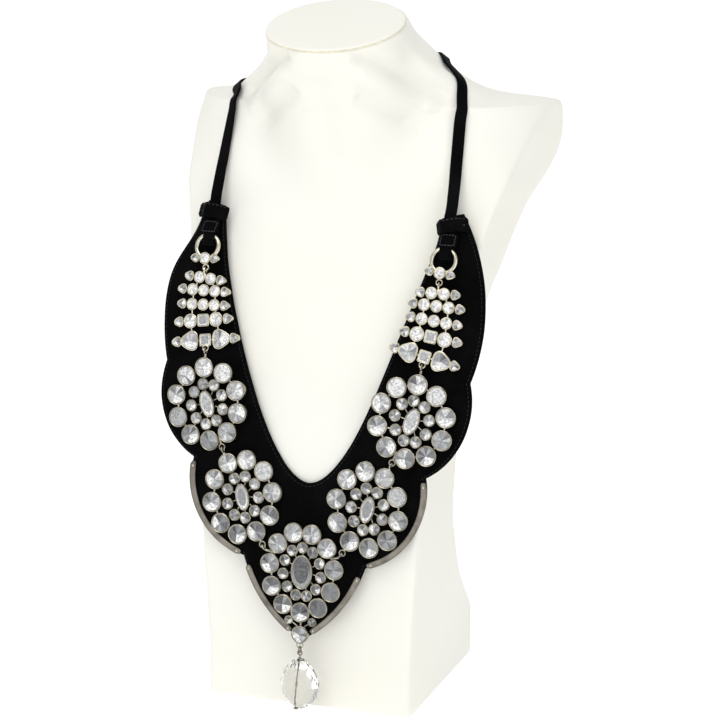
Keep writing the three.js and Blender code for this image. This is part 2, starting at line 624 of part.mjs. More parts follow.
// One half of a join, with a peg from it to a point of its own group.
function joinHalf(join, isUpper, anchor) {
  const frame = onVelvet(join.x, join.z);
  const angle = join.turn * Math.PI / 180;
  const reach = (isUpper ? 1 : -1) * LOOP_RADIUS / 2;
  const ring = place(loop(LOOP_RADIUS, WIRE, !isUpper), frame, reach * Math.sin(angle),
    reach * Math.cos(angle), LOOP_LIFT, join.turn);
  const end = (isUpper ? 1.5 : -1.5) * LOOP_RADIUS;
  const from = spotOn(frame, end * Math.sin(angle), end * Math.cos(angle), LOOP_LIFT);
  return [ring, strut(from, anchor, frame.out)];
}

// ---- ornaments ----------------------------------------------------------------------------------

// One bar of three stones, soldered on the ring that hangs in the strap's fold. Each side's bar has
// swung by its own turn.
const RING_BAR = { x: 72.5, z: 260.4, reach: 6.3, turn: { right: 9, left: 1 } };

function ringBar(word) {
  const ringFrame = onVelvet(RING_X[word], RING.z);
  const ring = new THREE.TorusGeometry(RING.radius, RING.wire / 2, 6, 24);
  const frame = onVelvet(RING_BAR.x, RING_BAR.z);
  const lift = RING.lift - 0.6;
  const turn = RING_BAR.turn[word];
  const angle = turn * Math.PI / 180;
  const [a, b] = [RING_BAR.reach * Math.cos(angle), -RING_BAR.reach * Math.sin(angle)];
  const stones = [
    [roundStone(3.6), 0, 0, 0],
    [trillionOutline(2.75), a, b, turn],
    [trillionOutline(2.75), -a, -b, turn + 180],
  ];
  const pieces = [place(ring, ringFrame, 0, 0, RING.lift)];
  for (const [outline, ...spot] of stones) {
    pieces.push(place(setting(outline), frame, spot[0], spot[1], lift, spot[2]));
  }
  pieces.push(place(bridge([-a, -b], [a, b]), frame, 0, 0, lift));
  pieces.push(...joinHalf(JOINS.barToLadder, true, spotOn(frame, 0, -2, LOOP_LIFT)));
  return soldered(pieces);
}

// The ladder's rows from the top: where its middle lies, how far it turns on either side, and its
// stones from the middle out.
const TRIPLE = [['round', 3.65, 0], ['round', 3.65, 7.3], ['point', 3.0, 13.9]];
const LADDER_ROWS = [
  { x: 72.0, z: 249.6, right: 2, left: -4, stones: [['round', 3.65, 3.7], ['point', 3.0, 10.3]] },
  { x: 72.0, z: 242.7, right: 4.5, left: 0, stones: TRIPLE },
  { x: 71.4, z: 234.6, right: 7, left: 1.5, stones: TRIPLE },
  { x: 70.4, z: 225.8, right: 8.5, left: 8,
    stones: [['square', 3.8, 0], ['round', 4.4, 8.3], ['point', 3.1, 15.7]] },
  { x: 67.8, z: 214.7, right: 13, left: 8,
    stones: [['square', 3.8, 0], ['point', 5.8, 9.8], ['point', 3.1, 18.5]] },
];
const LADDER_PEGS = [5.3, 7.2, 7.7, 8.6];   // how far out the rows are pegged to each other
const LADDER_LIFT = 0.9;

function stoneOutline(kind, size) {
  if (kind === 'square') return squareOutline(size);
  if (kind === 'point') return trillionOutline(size);
  return roundStone(size);
}

function ladderRow(row, word) {
  const frame = onVelvet(row.x, row.z);
  const angle = row[word] * Math.PI / 180;
  const along = (reach) => [reach * Math.cos(angle), -reach * Math.sin(angle)];
  const pieces = [];
  for (const [kind, size, reach] of row.stones) {
    const stone = setting(stoneOutline(kind, size));
    for (const side of reach > 0 ? [1, -1] : [1]) {
      const turn = side > 0 ? row[word] : row[word] + 180;
      pieces.push(place(stone, frame, ...along(side * reach), LADDER_LIFT, turn));
    }
  }
  const end = row.stones[row.stones.length - 1][2];
  pieces.push(place(bridge(along(-end), along(end)), frame, 0, 0, LADDER_LIFT));
  return { frame, pieces, spot: (reach) => spotOn(frame, ...along(reach), LADDER_LIFT + 1) };
}

function ladder(word) {
  const rows = LADDER_ROWS.map((row) => ladderRow(row, word));
  const pieces = rows.flatMap((row) => row.pieces);
  LADDER_PEGS.forEach((reach, i) => {
    for (const side of [-1, 1]) {
      pieces.push(strut(rows[i].spot(side * reach), rows[i + 1].spot(side * reach), rows[i].frame.out));
    }
  });
  pieces.push(...joinHalf(JOINS.barToLadder, false, rows[0].spot(0)));
  pieces.push(...joinHalf(JOINS.ladderToUpper, true, rows[rows.length - 1].spot(0)));
  return soldered(pieces);
}

// A rosette: an outer ring of large round stones, an inner ring of small ones, and an oval between.
const ROSETTES = {
  upper: { x: 63.3, z: 178.8, lift: 1.0, oval: [4.5, 8.0, 20],
    outer: { count: 10, a: 20.4, b: 21.6, start: 8, size: 6 },
    inner: { count: 9, a: 10.4, b: 12.1, start: 0, size: 3.6 } },
  lower: { x: 39.0, z: 126.0, lift: 0.5, oval: [4.3, 8.0, 12],
    outer: { count: 10, a: 19.5, b: 22.3, start: -6, size: 6 },
    inner: { count: 9, a: 10.1, b: 12.4, start: -7, size: 3.6 } },
  centre: { x: 0, z: 85.6, lift: 0.5, oval: [6.7, 10.2, 0],
    outer: { count: 11, a: 20.3, b: 23.9, start: -16.4, size: 5.95 },
    inner: { count: 11, a: 11.9, b: 14.5, start: 0, size: 3.5 } },
};

function ringPlaces(ring) {
  return Array.from({ length: ring.count }, (_, i) => {
    const angle = (ring.start + 360 * i / ring.count) * Math.PI / 180;
    return [ring.a * Math.sin(angle), ring.b * Math.cos(angle)];
  });
}

// The left upper rosette's inner ring has its stones at other places than the right one's.
const UPPER_START = { right: 4, left: 19 };

const nearestTo = (spot, places) => places.reduce((best, place_) => (
  Math.hypot(place_[0] - spot[0], place_[1] - spot[1])
    < Math.hypot(best[0] - spot[0], best[1] - spot[1]) ? place_ : best));

function rosette(plan, extras) {
  const frame = onVelvet(plan.x, plan.z);
  const [outer, inner] = [ringPlaces(plan.outer), ringPlaces(plan.inner)];
  const put = (geometry, spot = [0, 0], turn = 0) => place(geometry, frame, ...spot, plan.lift, turn);
  const large = setting(roundStone(plan.outer.size), 2.8, 0.9);
  const small = setting(roundStone(plan.inner.size), 2.0, 0.5);
  const [halfWidth, halfHeight, turn] = plan.oval;
  const pieces = [put(setting(ovalOutline(halfWidth, halfHeight, 10), 2.4, 0.9), [0, 0], turn)];
  outer.forEach((spot, i) => {
    pieces.push(put(large, spot), put(bridge(spot, outer[(i + 1) % outer.length])));
  });
  inner.forEach((spot, i) => {
    pieces.push(put(small, spot), put(bridge(spot.map((v) => v * 0.4), spot)));
    if (i % 3 === 0) pieces.push(put(bridge(spot, nearestTo(spot, outer))));
  });
  const between = (i, j) => spotOn(frame, (outer[i][0] + outer[j][0]) / 2, (outer[i][1] + outer[j][1]) / 2,
    plan.lift + 1);
  const at = (i) => between(i, i);
  return soldered([...pieces, ...extras({ put, at, between })]);
}

// What each rosette has besides its stones: the halves of its joins.
const upperJoins = ({ at, between }) => [
  ...joinHalf(JOINS.ladderToUpper, false, at(0)),
  ...joinHalf(JOINS.upperToLower, true, between(5, 6)),
];

const lowerJoins = ({ at }) => [
  ...joinHalf(JOINS.upperToLower, false, at(1)),
  ...joinHalf(JOINS.lowerToCentre, true, at(6)),
];

// Below the centre rosette: two tiny stones, a pear and the eye that the drop hangs in.
function pointStones({ put, between }) {
  const [tiny, pear] = [setting(roundStone(2.3), 2.0, 0.4), setting(pearOutline(5.4, 5.0, -6.2), 2.6, 0.8)];
  const eye = loop(EYE.radius, DROP_WIRE, false, 16, 6);
  eye.rotateX(Math.PI / 2);
  eye.translate(0, DROP.y, EYE.z);
  const join = joinHalf(JOINS.lowerToCentre, false, between(2, 3));
  const pieces = [put(pear, [0, -37]), put(bridge([0, -23], [0, -34])), eye, ...join, ...join.map(mirrorX)];
  for (const side of [-1, 1]) {
    pieces.push(put(tiny, [side * 7.3, -29.2]), put(bridge([side * 7.3, -29.2], [0, -34])));
  }
  return pieces;
}

// ---- edge trims ---------------------------------------------------------------------------------

// A flat strip along a lobe of the hem, with a rivet near each end.
function edgeTrim(lobe, start, end) {
  const pieceCount = 9;
  const lift = GAP + TRIM.thickness / 2;
  const route = [...steps(pieceCount, start, end), end].map((t) => {
    const [x, z] = bowedArc(lobe, t);
    const [nextX, nextZ] = bowedArc(lobe, t + 0.001);
    const inward = new THREE.Vector2(-(nextZ - z), nextX - x).normalize();
    const frame = onVelvet(x + inward.x * TRIM.width * 0.4, z + inward.y * TRIM.width * 0.4);
    return { point: frame.point.clone().addScaledVector(frame.out, lift), face: frame.out, frame };
  });
  const pieces = [band(route, TRIM.width, TRIM.thickness)];
  for (const i of [0, pieceCount]) {
    const neighbour = route[i === 0 ? 1 : i - 1].point;
    const spot = route[i].point.clone().lerp(neighbour, 0.35);
    const rivet = new THREE.CylinderGeometry(TRIM.rivet * 0.7, TRIM.rivet, 1.0, 8);
    rivet.rotateX(Math.PI / 2);
    const { across, up, out } = route[i].frame;
    const basis = new THREE.Matrix4().makeBasis(across, up, out);
    pieces.push(rivet.applyMatrix4(basis.setPosition(spot.addScaledVector(out, TRIM.thickness / 2 + 0.2))));
  }
  return soldered(pieces);
}

// ---- the drop -----------------------------------------------------------------------------------

// Half the drop's width at a height, as a share of its widest: full in the middle, with blunt ends.
function dropGirth(share) {
  return Math.sin(Math.PI * share ** 1.06) ** 0.56;
}

// The stem leans in the drop, so that its foot comes out to one side of the drop's point.
function leaned(geometry) {
  geometry.translate(0, 0, -DROP.top);
  geometry.rotateY(DROP.lean * Math.PI / 180);
  geometry.translate(0, DROP.y, DROP.top);
  return geometry;
}

function upright(radiusTop, radiusBottom, low, high, sides) {
  const cylinder = new THREE.CylinderGeometry(radiusTop, radiusBottom, high - low, sides);
  cylinder.rotateX(Math.PI / 2);
  cylinder.translate(0, 0, (low + high) / 2);
  return cylinder;
}

function crystalDrop() {
  const shares = [0.02, 0.1, 0.26, 0.44, 0.62, 0.8, 0.94, 0.985];
  const rings = shares.map((share) => turns(12).map((angle) => {
    const girth = dropGirth(1 - share);
    return [DROP.halfWidth * girth * Math.cos(angle), DROP.y + DROP.halfDepth * girth * Math.sin(angle),
      mix(DROP.bottom, DROP.top, share)];
  }));
  return cut(loft(rings), leaned(upright(DROP.bore, DROP.bore, DROP.bottom - 10, DROP.top + 10, 8)));
}

// The heights at which the links hang in each other.
const EYE_WIRE_Z = EYE.z - EYE.radius;
const HANG = DROP_WIRE + LINK_GAP;
const RING_Z = EYE_WIRE_Z + HANG - DROP_RING.radius;
const RING_WIRE_Z = RING_Z - DROP_RING.radius;
const PIN_Z = RING_WIRE_Z + HANG - PIN.radius;

function dropPin() {
  const eye = loop(PIN.radius, DROP_WIRE, false, 14, 6);
  eye.rotateX(Math.PI / 2);
  eye.translate(0, DROP.y, PIN_Z);
  const low = DROP.bottom - 0.2;
  const neck = upright(DROP_WIRE / 2, DROP_WIRE / 2, DROP.top - 0.6, PIN_Z - PIN.radius, 8);
  neck.translate(0, DROP.y, 0);
  const stem = leaned(upright(DROP_WIRE / 2, DROP_WIRE / 2, low, DROP.top + 0.3, 8));
  const head = leaned(upright(PIN.head, PIN.head * 0.7, low - 0.5, low + 0.2, 10));
  return soldered([eye, neck, stem, head]);
}

function dropRing() {
  const ring = loop(DROP_RING.radius, DROP_WIRE, true, 16, 6);
  ring.translate(0, DROP.y, RING_Z);
  return ring;
}

// ---- the object ---------------------------------------------------------------------------------

const object = new THREE.Group();

const bust = new THREE.Group();
const trunk = named('neck_bust', loft(BUST_ROWS.map(bustRing)), cream);
bust.add(trunk);
bust.add(named('neck_cap', neckCap(), cream));
object.add(bust);

const necklace = new THREE.Group();
necklace.add(named('velvet_bib', velvetBib(), velvet));
necklace.add(named('neck_strap', neckStrap(trunk), velvet));
for (const [word, side] of [['right', 1], ['left', -1]]) {
  const hand = (geometry) => (side > 0 ? geometry : mirrorX(geometry));
  const { upper, lower } = ROSETTES;
  const turned = { ...upper, inner: { ...upper.inner, start: UPPER_START[word] } };
  necklace.add(named(`${word}_keeper`, hand(keeper(word)), velvet));
  necklace.add(named(`${word}_ring_bar`, hand(ringBar(word)), silver));
  necklace.add(named(`${word}_ladder`, hand(ladder(word)), silver));
  necklace.add(named(`${word}_upper_rosette`, hand(rosette(turned, upperJoins)), silver));
  necklace.add(named(`${word}_lower_rosette`, hand(rosette(lower, lowerJoins)), silver));
  necklace.add(named(`${word}_side_trim`, hand(edgeTrim(HEM_LOBES[1], 0.03, 0.97)), antique));
  necklace.add(named(`${word}_point_trim`, hand(edgeTrim(HEM_LOBES[0], 0.14, 0.9)), antique));
}
necklace.add(named('centre_rosette', rosette(ROSETTES.centre, pointStones), silver));
object.add(necklace);

const drop = new THREE.Group();
drop.add(named('drop_ring', dropRing(), silver));
drop.add(named('drop_pin', dropPin(), silver));
drop.add(named('crystal_drop', crystalDrop(), glass));
object.add(drop);

export default object;
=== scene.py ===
"""A velvet bib necklace with jewelled silver ornaments, shown on a cream neck bust.

Shapes are worked out in millimetres, with +X the viewer's right, +Y the back and +Z up from the middle of
the bust's base, and are turned into metres when their mesh is made.
"""
import json
import math

import bpy
import numpy as np
from bpy.props import FloatProperty, FloatVectorProperty, IntProperty, PointerProperty
from mathutils import Matrix, Vector
from mathutils.bvhtree import BVHTree

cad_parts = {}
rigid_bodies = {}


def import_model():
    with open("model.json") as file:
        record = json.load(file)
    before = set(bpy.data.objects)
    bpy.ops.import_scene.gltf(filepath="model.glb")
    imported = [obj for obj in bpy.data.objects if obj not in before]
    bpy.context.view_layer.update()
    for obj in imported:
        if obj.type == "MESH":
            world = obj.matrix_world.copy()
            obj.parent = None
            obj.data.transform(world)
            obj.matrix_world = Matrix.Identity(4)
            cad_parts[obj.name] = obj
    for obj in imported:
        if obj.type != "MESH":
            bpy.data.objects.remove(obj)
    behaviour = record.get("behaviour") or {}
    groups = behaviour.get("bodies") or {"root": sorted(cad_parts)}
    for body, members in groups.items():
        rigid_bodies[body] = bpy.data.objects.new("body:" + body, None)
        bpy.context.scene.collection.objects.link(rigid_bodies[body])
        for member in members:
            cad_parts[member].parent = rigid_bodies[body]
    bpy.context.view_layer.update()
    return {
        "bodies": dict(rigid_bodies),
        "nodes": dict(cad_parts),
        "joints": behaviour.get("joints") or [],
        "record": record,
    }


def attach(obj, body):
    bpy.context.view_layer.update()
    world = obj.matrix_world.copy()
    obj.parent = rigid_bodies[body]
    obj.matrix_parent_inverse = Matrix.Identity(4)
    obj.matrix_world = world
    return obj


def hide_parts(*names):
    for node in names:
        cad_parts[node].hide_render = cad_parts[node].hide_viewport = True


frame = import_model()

bl_info = {
    "name": "Velvet bib necklace",
    "version": (1, 0, 0),
    "blender": (4, 5, 0),
    "location": "View3D > Sidebar > Necklace",
    "description": "Makes a velvet bib necklace with jewelled ornaments on a neck bust",
    "category": "Add Mesh",
}

MM = 0.001
TAU = 2 * math.pi

# ---- sizes, in millimetres ----------------------------------------------------------------------

NECK_LEAN = 0.37
NECK_TOP = {"y": -11.2, "z": 398, "half_width": 41.3, "half_depth": 33.8}
NECK_FLARE = {"width": 0.1, "depth": 0.06}

# Rows of the bust's trunk: the front line runs from the middle to the front crease, a side panel from
# there to the rear corner, and the back line closes it. shear lifts the back of a row, power and close
# shape the front line, blend is how softly the neck joins, and core is a point inside the section.
BUST_COLUMNS = ("z", "shear", "front", "crease_x", "crease_y", "rear_x", "rear_y", "back",
                "power", "close", "blend", "core")
BUST_ROWS = (
    (0, 0, -60.5, 64, -61, 64, 62, 62, 6, 1, 0, 0),
    (30, 0, -60.5, 64, -61, 64, 62, 62, 6, 1, 0, 0),
    (40, 0, -60.5, 64.5, -61, 64.5, 53.5, 54, 6, 1, 0, 0),
    (61.5, 0, -60.5, 65.5, -61, 65.5, 33, 33.5, 6, 1, 0, 0),
    (81.5, 0, -60.5, 66.5, -61, 66.5, 21.5, 22.5, 6, 1, 0, 0),
    (113.5, 0, -60.2, 68, -60.7, 68, 9.5, 12, 6, 1, 0, -10),
    (147.5, 0, -57, 69.5, -57, 69.5, 11, 15.5, 4, 1, 0, -8),
    (173.5, 0, -52, 71, -51.5, 71.5, 14.5, 20.5, 2, 1, 0, -5),
    (208.5, 0, -45, 75.5, -42.5, 76, 18, 29, 2, 1, 0, 2),
    (237.5, 0, -37.5, 82, -33, 84, 19.5, 37.5, 2, 1, 0, 8),
    (257.5, 0, -30.8, 87, -25.5, 90, 27.5, 48, 2, 1, 0, 14),
    (275.5, 0, -24, 91.5, -18, 94.5, 37.5, 58.5, 2, 1, 0, 19),
    (292, 0, -17, 95.5, -10, 99, 51, 71.5, 2.2, 1, 10, 22),
    (307, 0, -13, 100, 0.5, 105, 71.5, 84, 3.5, 1, 12, 24),
    (319, 0, -9, 102.5, 12, 109, 83.5, 91, 4.5, 1, 14, 25),
    (330, 0, -4.5, 105.5, 23, 112, 82, 93, 4.5, 1, 16, 26),
    (342.5, 0.01, 1, 109.5, 41, 113.5, 75.5, 91.5, 4.5, 1, 18, 27),
    (349.5, 0.03, 1.5, 112, 55.5, 114.5, 67.5, 87, 5, 1, 18, 30),
    (351.4, 0.05, 2, 95, 49, 95, 49, 83, 5, 2, 18, 30),
    (353.2, 0.07, 2.5, 82, 39, 76, 47, 77, 5, 2, 18, 29),
    (359, 0.12, 1, 73, 27, 65, 37, 64, 4.5, 2, 20, 25),
    (367, 0.18, -3, 61, 16, 55.5, 25, 56, 4, 2, 20, 19),
    (378, 0.25, -9, 49, 4, 49, 4, 45.5, 3, 2, 10, 8),
    (386, 0.31, -14, 43, -6, 43, -6, 36.5, 2.5, 2, 4, 0),
    (391, 0.345, -17, 42.4, -10, 42.4, -10, 30, 2, 2, 2, -5),
    (398, NECK_LEAN, -20, 40, -10, 40, -10, 20, 2, 2, 0, -8),
)
NECK_STARTS = (280, 292)                # the neck grows out of the trunk between these heights
BACK_POWER = 2.6
CREASE_SPREAD = 2.0
# Where the shoulders run softly into the neck: from and up to these heights, and within these places
# from the middle; how much of each point goes to its neighbours' mean, and how often.
SHOULDERS = {"from": (318, 340), "to": (370, 384), "x": (72, 92), "share": 0.5, "rounds": 16}
FOOT_EDGE = ((0.984, 0.0), (0.992, 0.4), (0.997, 1.2))    # the foot's round edge: scale and height
FOOT_RISE = 2.4
# Folds in the leatherette: the places of each in the front view, how wide it is, and its share of the
# height, below nought for a hollow.
FOLDS = (
    (((-17, 383), (-34, 376), (-54, 365), (-65, 354)), 4.6, -1.0),
    (((19, 383), (33, 378), (43, 370), (52, 364), (66, 359)), 4.6, -0.9),
    (((19, 374), (36, 362), (59, 350)), 6.0, 0.6),
    (((-18, 374), (-37, 361), (-62, 346)), 6.0, 0.6),
    (((19, 360), (31, 353), (46, 343)), 6.0, -0.6),
    (((-16, 364), (-34, 351), (-52, 340)), 6.0, -0.6),
    (((0, 372), (0, 340), (0, 318)), 9, -0.4),
)
FOLD_STEPS = 24
# The cap's rim as heights over the neck's top and scales of its ellipse, then its dome, and the seam.
CAP_RIM = ((0.2, 0.9), (0.22, 0.97), (0.4, 0.995), (0.7, 1.0), (1.0, 0.995), (1.25, 0.98), (1.4, 0.95),
           (1.5, 0.88))
CAP_DOME = {"height": 1.52, "rise": 0.3}
SEAM = {"lift": 0.12, "tall": 0.38, "scale": 0.993, "deep": 0.011}

TIP_Z = 44.5
ARM_TOP = {"in_x": 64.5, "in_z": 290.8, "out_x": 80.5, "z": 293.5}
NECKLINE_Z = 137.5
NECKLINE_POWER = 0.53
NECKLINE_SPREAD = 1.4                   # gathers the neckline's points towards its tip
VELVET = 2.2
# The hem's lobes: share of the bib's half length at both ends, its two corners, and how far it bows.
HEM_COLUMNS = ("from", "to", "x0", "z0", "x1", "z1", "bow")
HEM_LOBES = tuple(dict(zip(HEM_COLUMNS, row)) for row in (
    (0.00, 0.08, 0.0, TIP_Z, 38.0, 91.0, 5.8),
    (0.08, 0.20, 38.0, 91.0, 72.5, 146.5, 13.0),
    (0.20, 0.55, 72.5, 146.5, 94.5, 201.0, 10.4),
    (0.55, 1.00, 94.5, 201.0, ARM_TOP["out_x"], ARM_TOP["z"], 11.0),
))
CHEST = {"tip_y": -71.5, "slope": 0.1, "rise": 26.6, "height": 249, "power": 3.4, "crown": 2.0,
         "crown_width": 58, "crown_z": (150, 230)}
PADDING = {"depth": 2.5, "centre_x": 76, "centre_z": 250, "bend": 0.0034, "width": 26, "z": (150, 190)}
ROLL = {"z": 276, "reach": 17, "in": 5, "back": 2.5}    # where the left arm's outer edge rolls under
# The worn bib isn't quite even: by height, how far the neckline stands towards +X on the right arm and
# on the left arm.
NECK_DRAW = np.array((
    (137, 1.0, 1.0), (150, 1.3, 0.9), (165, 1.8, 0.7), (190, 2.1, 0.1), (215, 2.5, -1.2),
    (235, 3.4, -2.2), (258, 5.0, -2.9), (276, 6.0, -2.4), (291, 4.2, -1.6),
))
ARM_HEM = {"height": 0.45, "z": (170, 210), "far": 2.0, "width": 1.3}    # the arms' raised inner hems
RIPPLE = 0.12
SHARE_LENGTH = 205                      # the length of a whole share near the arms' ends
EDGE_STEPS = (0.0, 0.05, 0.2, 0.45, 0.8, 1.1)
GROOVE = {"depth": 0.28, "width": 0.3}  # the line that the stitches are drawn into
GROOVE_STEPS = (-0.5, -0.22, 0.0, 0.22, 0.55)
THREAD = 0.24

STRAP = {"width": 7, "thickness": 1.4, "clearance": 0.35}
ARM_X = {"right": 74.5, "left": 71.6}
KEEPER = {"height": 8.6, "thickness": 1.4, "over": 5.7, "inner": 5.1, "steps": 90}
KEEPER_SIDES = {"right": {"z": 285.9, "inwards": 7.6, "outwards": 10.4, "turn": 12},
                "left": {"z": 287.1, "inwards": 8.7, "outwards": 10.4, "turn": 4}}
LAYERS = ((9, 6.0), (14, 3.8), (21, 3.1))   # the strap above its fold: height, lift of the front layer
LOWER_LIFT = 1.15                           # and of the layer behind it
FOLD = {"rise": 4.1, "radius": 2.7}
# The tab on the fold, and its rings by scale and lift.
TAB = {"half": 5.0, "tall": 0.78, "a": {"right": 0.9, "left": 0.2}, "b": 11.6, "bend": 0.03}
TAB_RINGS = ((0.92, 0.0), (1.0, 0.25), (1.0, 0.6), (0.94, 0.95), (0.82, 1.1), (0.4, 1.15))
RING = {"radius": 7, "wire": 2.5, "z": 267.2, "lift": 3.9}
RING_X = {"right": 73.6, "left": 72.2}
WIRE = 0.9
TRIM = {"width": 3.7, "thickness": 1.2, "rivet": 1.0, "bead": 0.32, "lift": 0.35, "steps": 48}
RIVET = ((0, 1), (0.25, 1), (0.65, 0.85), (0.9, 0.5), (1, 0.15))    # shares of its height and radius

# The strap's route over the bust from each keeper to the nape: a place near the skin and where it faces.
STRAP_ROUTE = {
    "right": np.array((
        (74.6, -21.4, 297.5, 0.0, -0.93, 0.38),
        (73.6, -13.5, 308, 0.08, -0.92, 0.36),
        (72.4, -7.0, 319, 0.2, -0.9, 0.38),
        (71.4, -1.0, 330, 0.32, -0.86, 0.4),
        (70.4, 4.0, 340, 0.42, -0.82, 0.43),
        (69.2, 8.3, 349, 0.6, -0.65, 0.48),
        (68.0, 12.5, 355.5, 0.62, -0.5, 0.6),
        (66.2, 17.0, 361, 0.69, -0.34, 0.64),
        (63.4, 20.8, 366, 0.72, -0.22, 0.66),
        (59.8, 24.0, 370.8, 0.71, -0.1, 0.7),
        (55.8, 26.8, 374.4, 0.65, 0.06, 0.75),
        (51.5, 31.5, 376, 0.57, 0.22, 0.79),
        (47.0, 38.5, 374.4, 0.46, 0.44, 0.77),
        (40.5, 46.0, 371.5, 0.32, 0.58, 0.75),
        (32.0, 52.5, 369, 0.2, 0.67, 0.7),
        (22.0, 57.0, 367, 0.1, 0.72, 0.68),
        (11.0, 59.5, 366, 0.04, 0.75, 0.66),
        (0.0, 60.0, 365.8, 0, 0.76, 0.65),
    )),
    "left": np.array((
        (-72.0, -21.4, 297.5, 0.0, -0.93, 0.38),
        (-72.6, -13.5, 308, -0.08, -0.92, 0.36),
        (-72.8, -7.0, 319, -0.22, -0.9, 0.38),
        (-72.6, -1.0, 330, -0.36, -0.84, 0.4),
        (-71.4, 4.0, 340, -0.5, -0.77, 0.4),
        (-69.2, 8.0, 349, -0.62, -0.62, 0.48),
        (-68.2, 10.8, 354, -0.72, -0.4, 0.56),
        (-71.4, 17.5, 355.2, -0.74, -0.25, 0.62),
        (-74.4, 26.0, 355.6, -0.66, -0.08, 0.74),
        (-76.0, 35.0, 355.8, -0.56, 0.06, 0.82),
        (-74.0, 44.4, 356.8, -0.48, 0.22, 0.85),
        (-69.2, 52.0, 358.8, -0.4, 0.38, 0.83),
        (-59.6, 57.0, 361, -0.34, 0.5, 0.8),
        (-48.4, 59.8, 363, -0.27, 0.6, 0.75),
        (-36.0, 60.8, 364.6, -0.19, 0.67, 0.71),
        (-22.8, 60.8, 365.4, -0.1, 0.73, 0.68),
        (-11.4, 60.2, 365.7, -0.04, 0.75, 0.66),
        (0.0, 60.0, 365.8, 0, 0.76, 0.65),
    )),
}

LOOP = {"radius": 1.75, "lift": 3.0}
JOINS = {
    "bar_to_ladder": {"x": 72.3, "z": 254.7, "turn": 0},
    "ladder_to_upper": {"x": 67.0, "z": 209.4, "turn": 5},
    "upper_to_lower": {"x": 52.6, "z": 153.6, "turn": 20},
    "lower_to_centre": {"x": 24.5, "z": 98.9, "turn": 31},
}
GIRDLE = 0.62                           # how far a stone's girdle reaches in under the lip
LARGE_STONE = 5                         # stones above this size have more facets
RING_BAR = {"x": 72.5, "z": 260.4, "reach": 6.3, "right": 9, "left": 1, "middle": 3.6, "side": 2.75,
            "shade": 0.7}
# The ladder's rows from the top: the place of each, how far it turns on either side, and the cut, size
# and place of its stones from the middle out.
TRIPLE = (("round", 3.65, 0), ("round", 3.65, 7.3), ("point", 3.0, 13.9))
LADDER_ROWS = (
    {"x": 72.0, "z": 249.6, "right": 2, "left": -4, "stones": (("round", 3.65, 3.7), ("point", 3.0, 10.3))},
    {"x": 72.0, "z": 242.7, "right": 4.5, "left": 0, "stones": TRIPLE},
    {"x": 71.4, "z": 234.6, "right": 7, "left": 1.5, "stones": TRIPLE},
    {"x": 70.4, "z": 225.8, "right": 8.5, "left": 8,
     "stones": (("square", 3.8, 0), ("round", 4.4, 8.3), ("point", 3.1, 15.7))},
    {"x": 67.8, "z": 214.7, "right": 13, "left": 8,
     "stones": (("square", 3.8, 0), ("point", 5.8, 9.8), ("point", 3.1, 18.5))},
)
LADDER_PEGS = (5.3, 7.2, 7.7, 8.6)
LADDER_LIFT = 0.9
# painted highlight: the round stones' foil is set brighter than white, so they show clipped to white
LADDER_SHADES = {"round": 1.2, "square": 0.68, "point": 0.66}
LARGE_POINT = {"size": 4, "shade": 0.85}
# The rosettes: each one's place, how bright its stones are, its oval's half sizes, turn and brightness,
# and its rings of stones by their count, half sizes, first angle and the stones' size.
ROSETTES = {
    "upper": {"x": 63.3, "z": 178.8, "lift": 1.0, "shade": 0.8, "oval": (4.5, 8.0, 20, 0.76),
              "outer": {"count": 10, "a": 20.4, "b": 21.6, "start": 8, "size": 6.0},
              "inner": {"count": 9, "a": 10.4, "b": 12.1, "start": 4, "size": 3.6}},
    "lower": {"x": 39.0, "z": 126.0, "lift": 0.5, "shade": 0.68, "oval": (4.3, 8.0, 12, 0.6),
              "outer": {"count": 10, "a": 19.5, "b": 22.3, "start": -6, "size": 6.0},
              "inner": {"count": 9, "a": 10.1, "b": 12.4, "start": -7, "size": 3.6}},
    "centre": {"x": 0, "z": 85.6, "lift": 0.5, "shade": 0.54, "oval": (6.7, 10.2, 0, 0.2),
               "outer": {"count": 11, "a": 20.3, "b": 23.9, "start": -16.4, "size": 5.95},
               "inner": {"count": 11, "a": 11.9, "b": 14.5, "start": 0, "size": 3.5}},
}
UPPER_START = {"right": 4, "left": 19}   # where the upper rosettes' inner rings begin, in degrees
# painted shade: the outer stones are painted darker down each rosette, lighter at its top
PAINTED_SHADE_FALL = 0.011                             # how fast the outer stones darken down a rosette
POINT = {"z": -37, "sizes": (5.4, 5.0, 6.2), "shade": 0.62, "root": -34, "side": (7.3, -29.2), "small": 2.75}
DROP = {"y": -73.4, "top": 34.6, "bottom": 2.8, "half_width": 12.1, "half_depth": 6.8, "lean": 5}
# The crystal's ovals as shares of its height, and the powers of the sine that gives their girths.
DROP_SHARES = (0.008, 0.05, 0.13, 0.24, 0.38, 0.54, 0.7, 0.84, 0.94, 0.988)
DROP_POWERS = (1.06, 0.56)
DROP_WIRE = 0.8
LINK_GAP = 0.3
EYE = {"radius": 2.0, "z": 42.3}
DROP_RING = {"radius": 1.9}
PIN = {"radius": 1.3, "head": 1.5}


# ---- settings -----------------------------------------------------------------------------------

def colour(label, text, default):
    """A colour property."""
    return FloatVectorProperty(name=label, description=text, subtype="COLOR", size=3, min=0, max=1,
                               default=default)


def number(label, text, default, low=0.0, **more):
    """A number property that doesn't go below low."""
    return FloatProperty(name=label, description=text, default=default, min=low, **more)


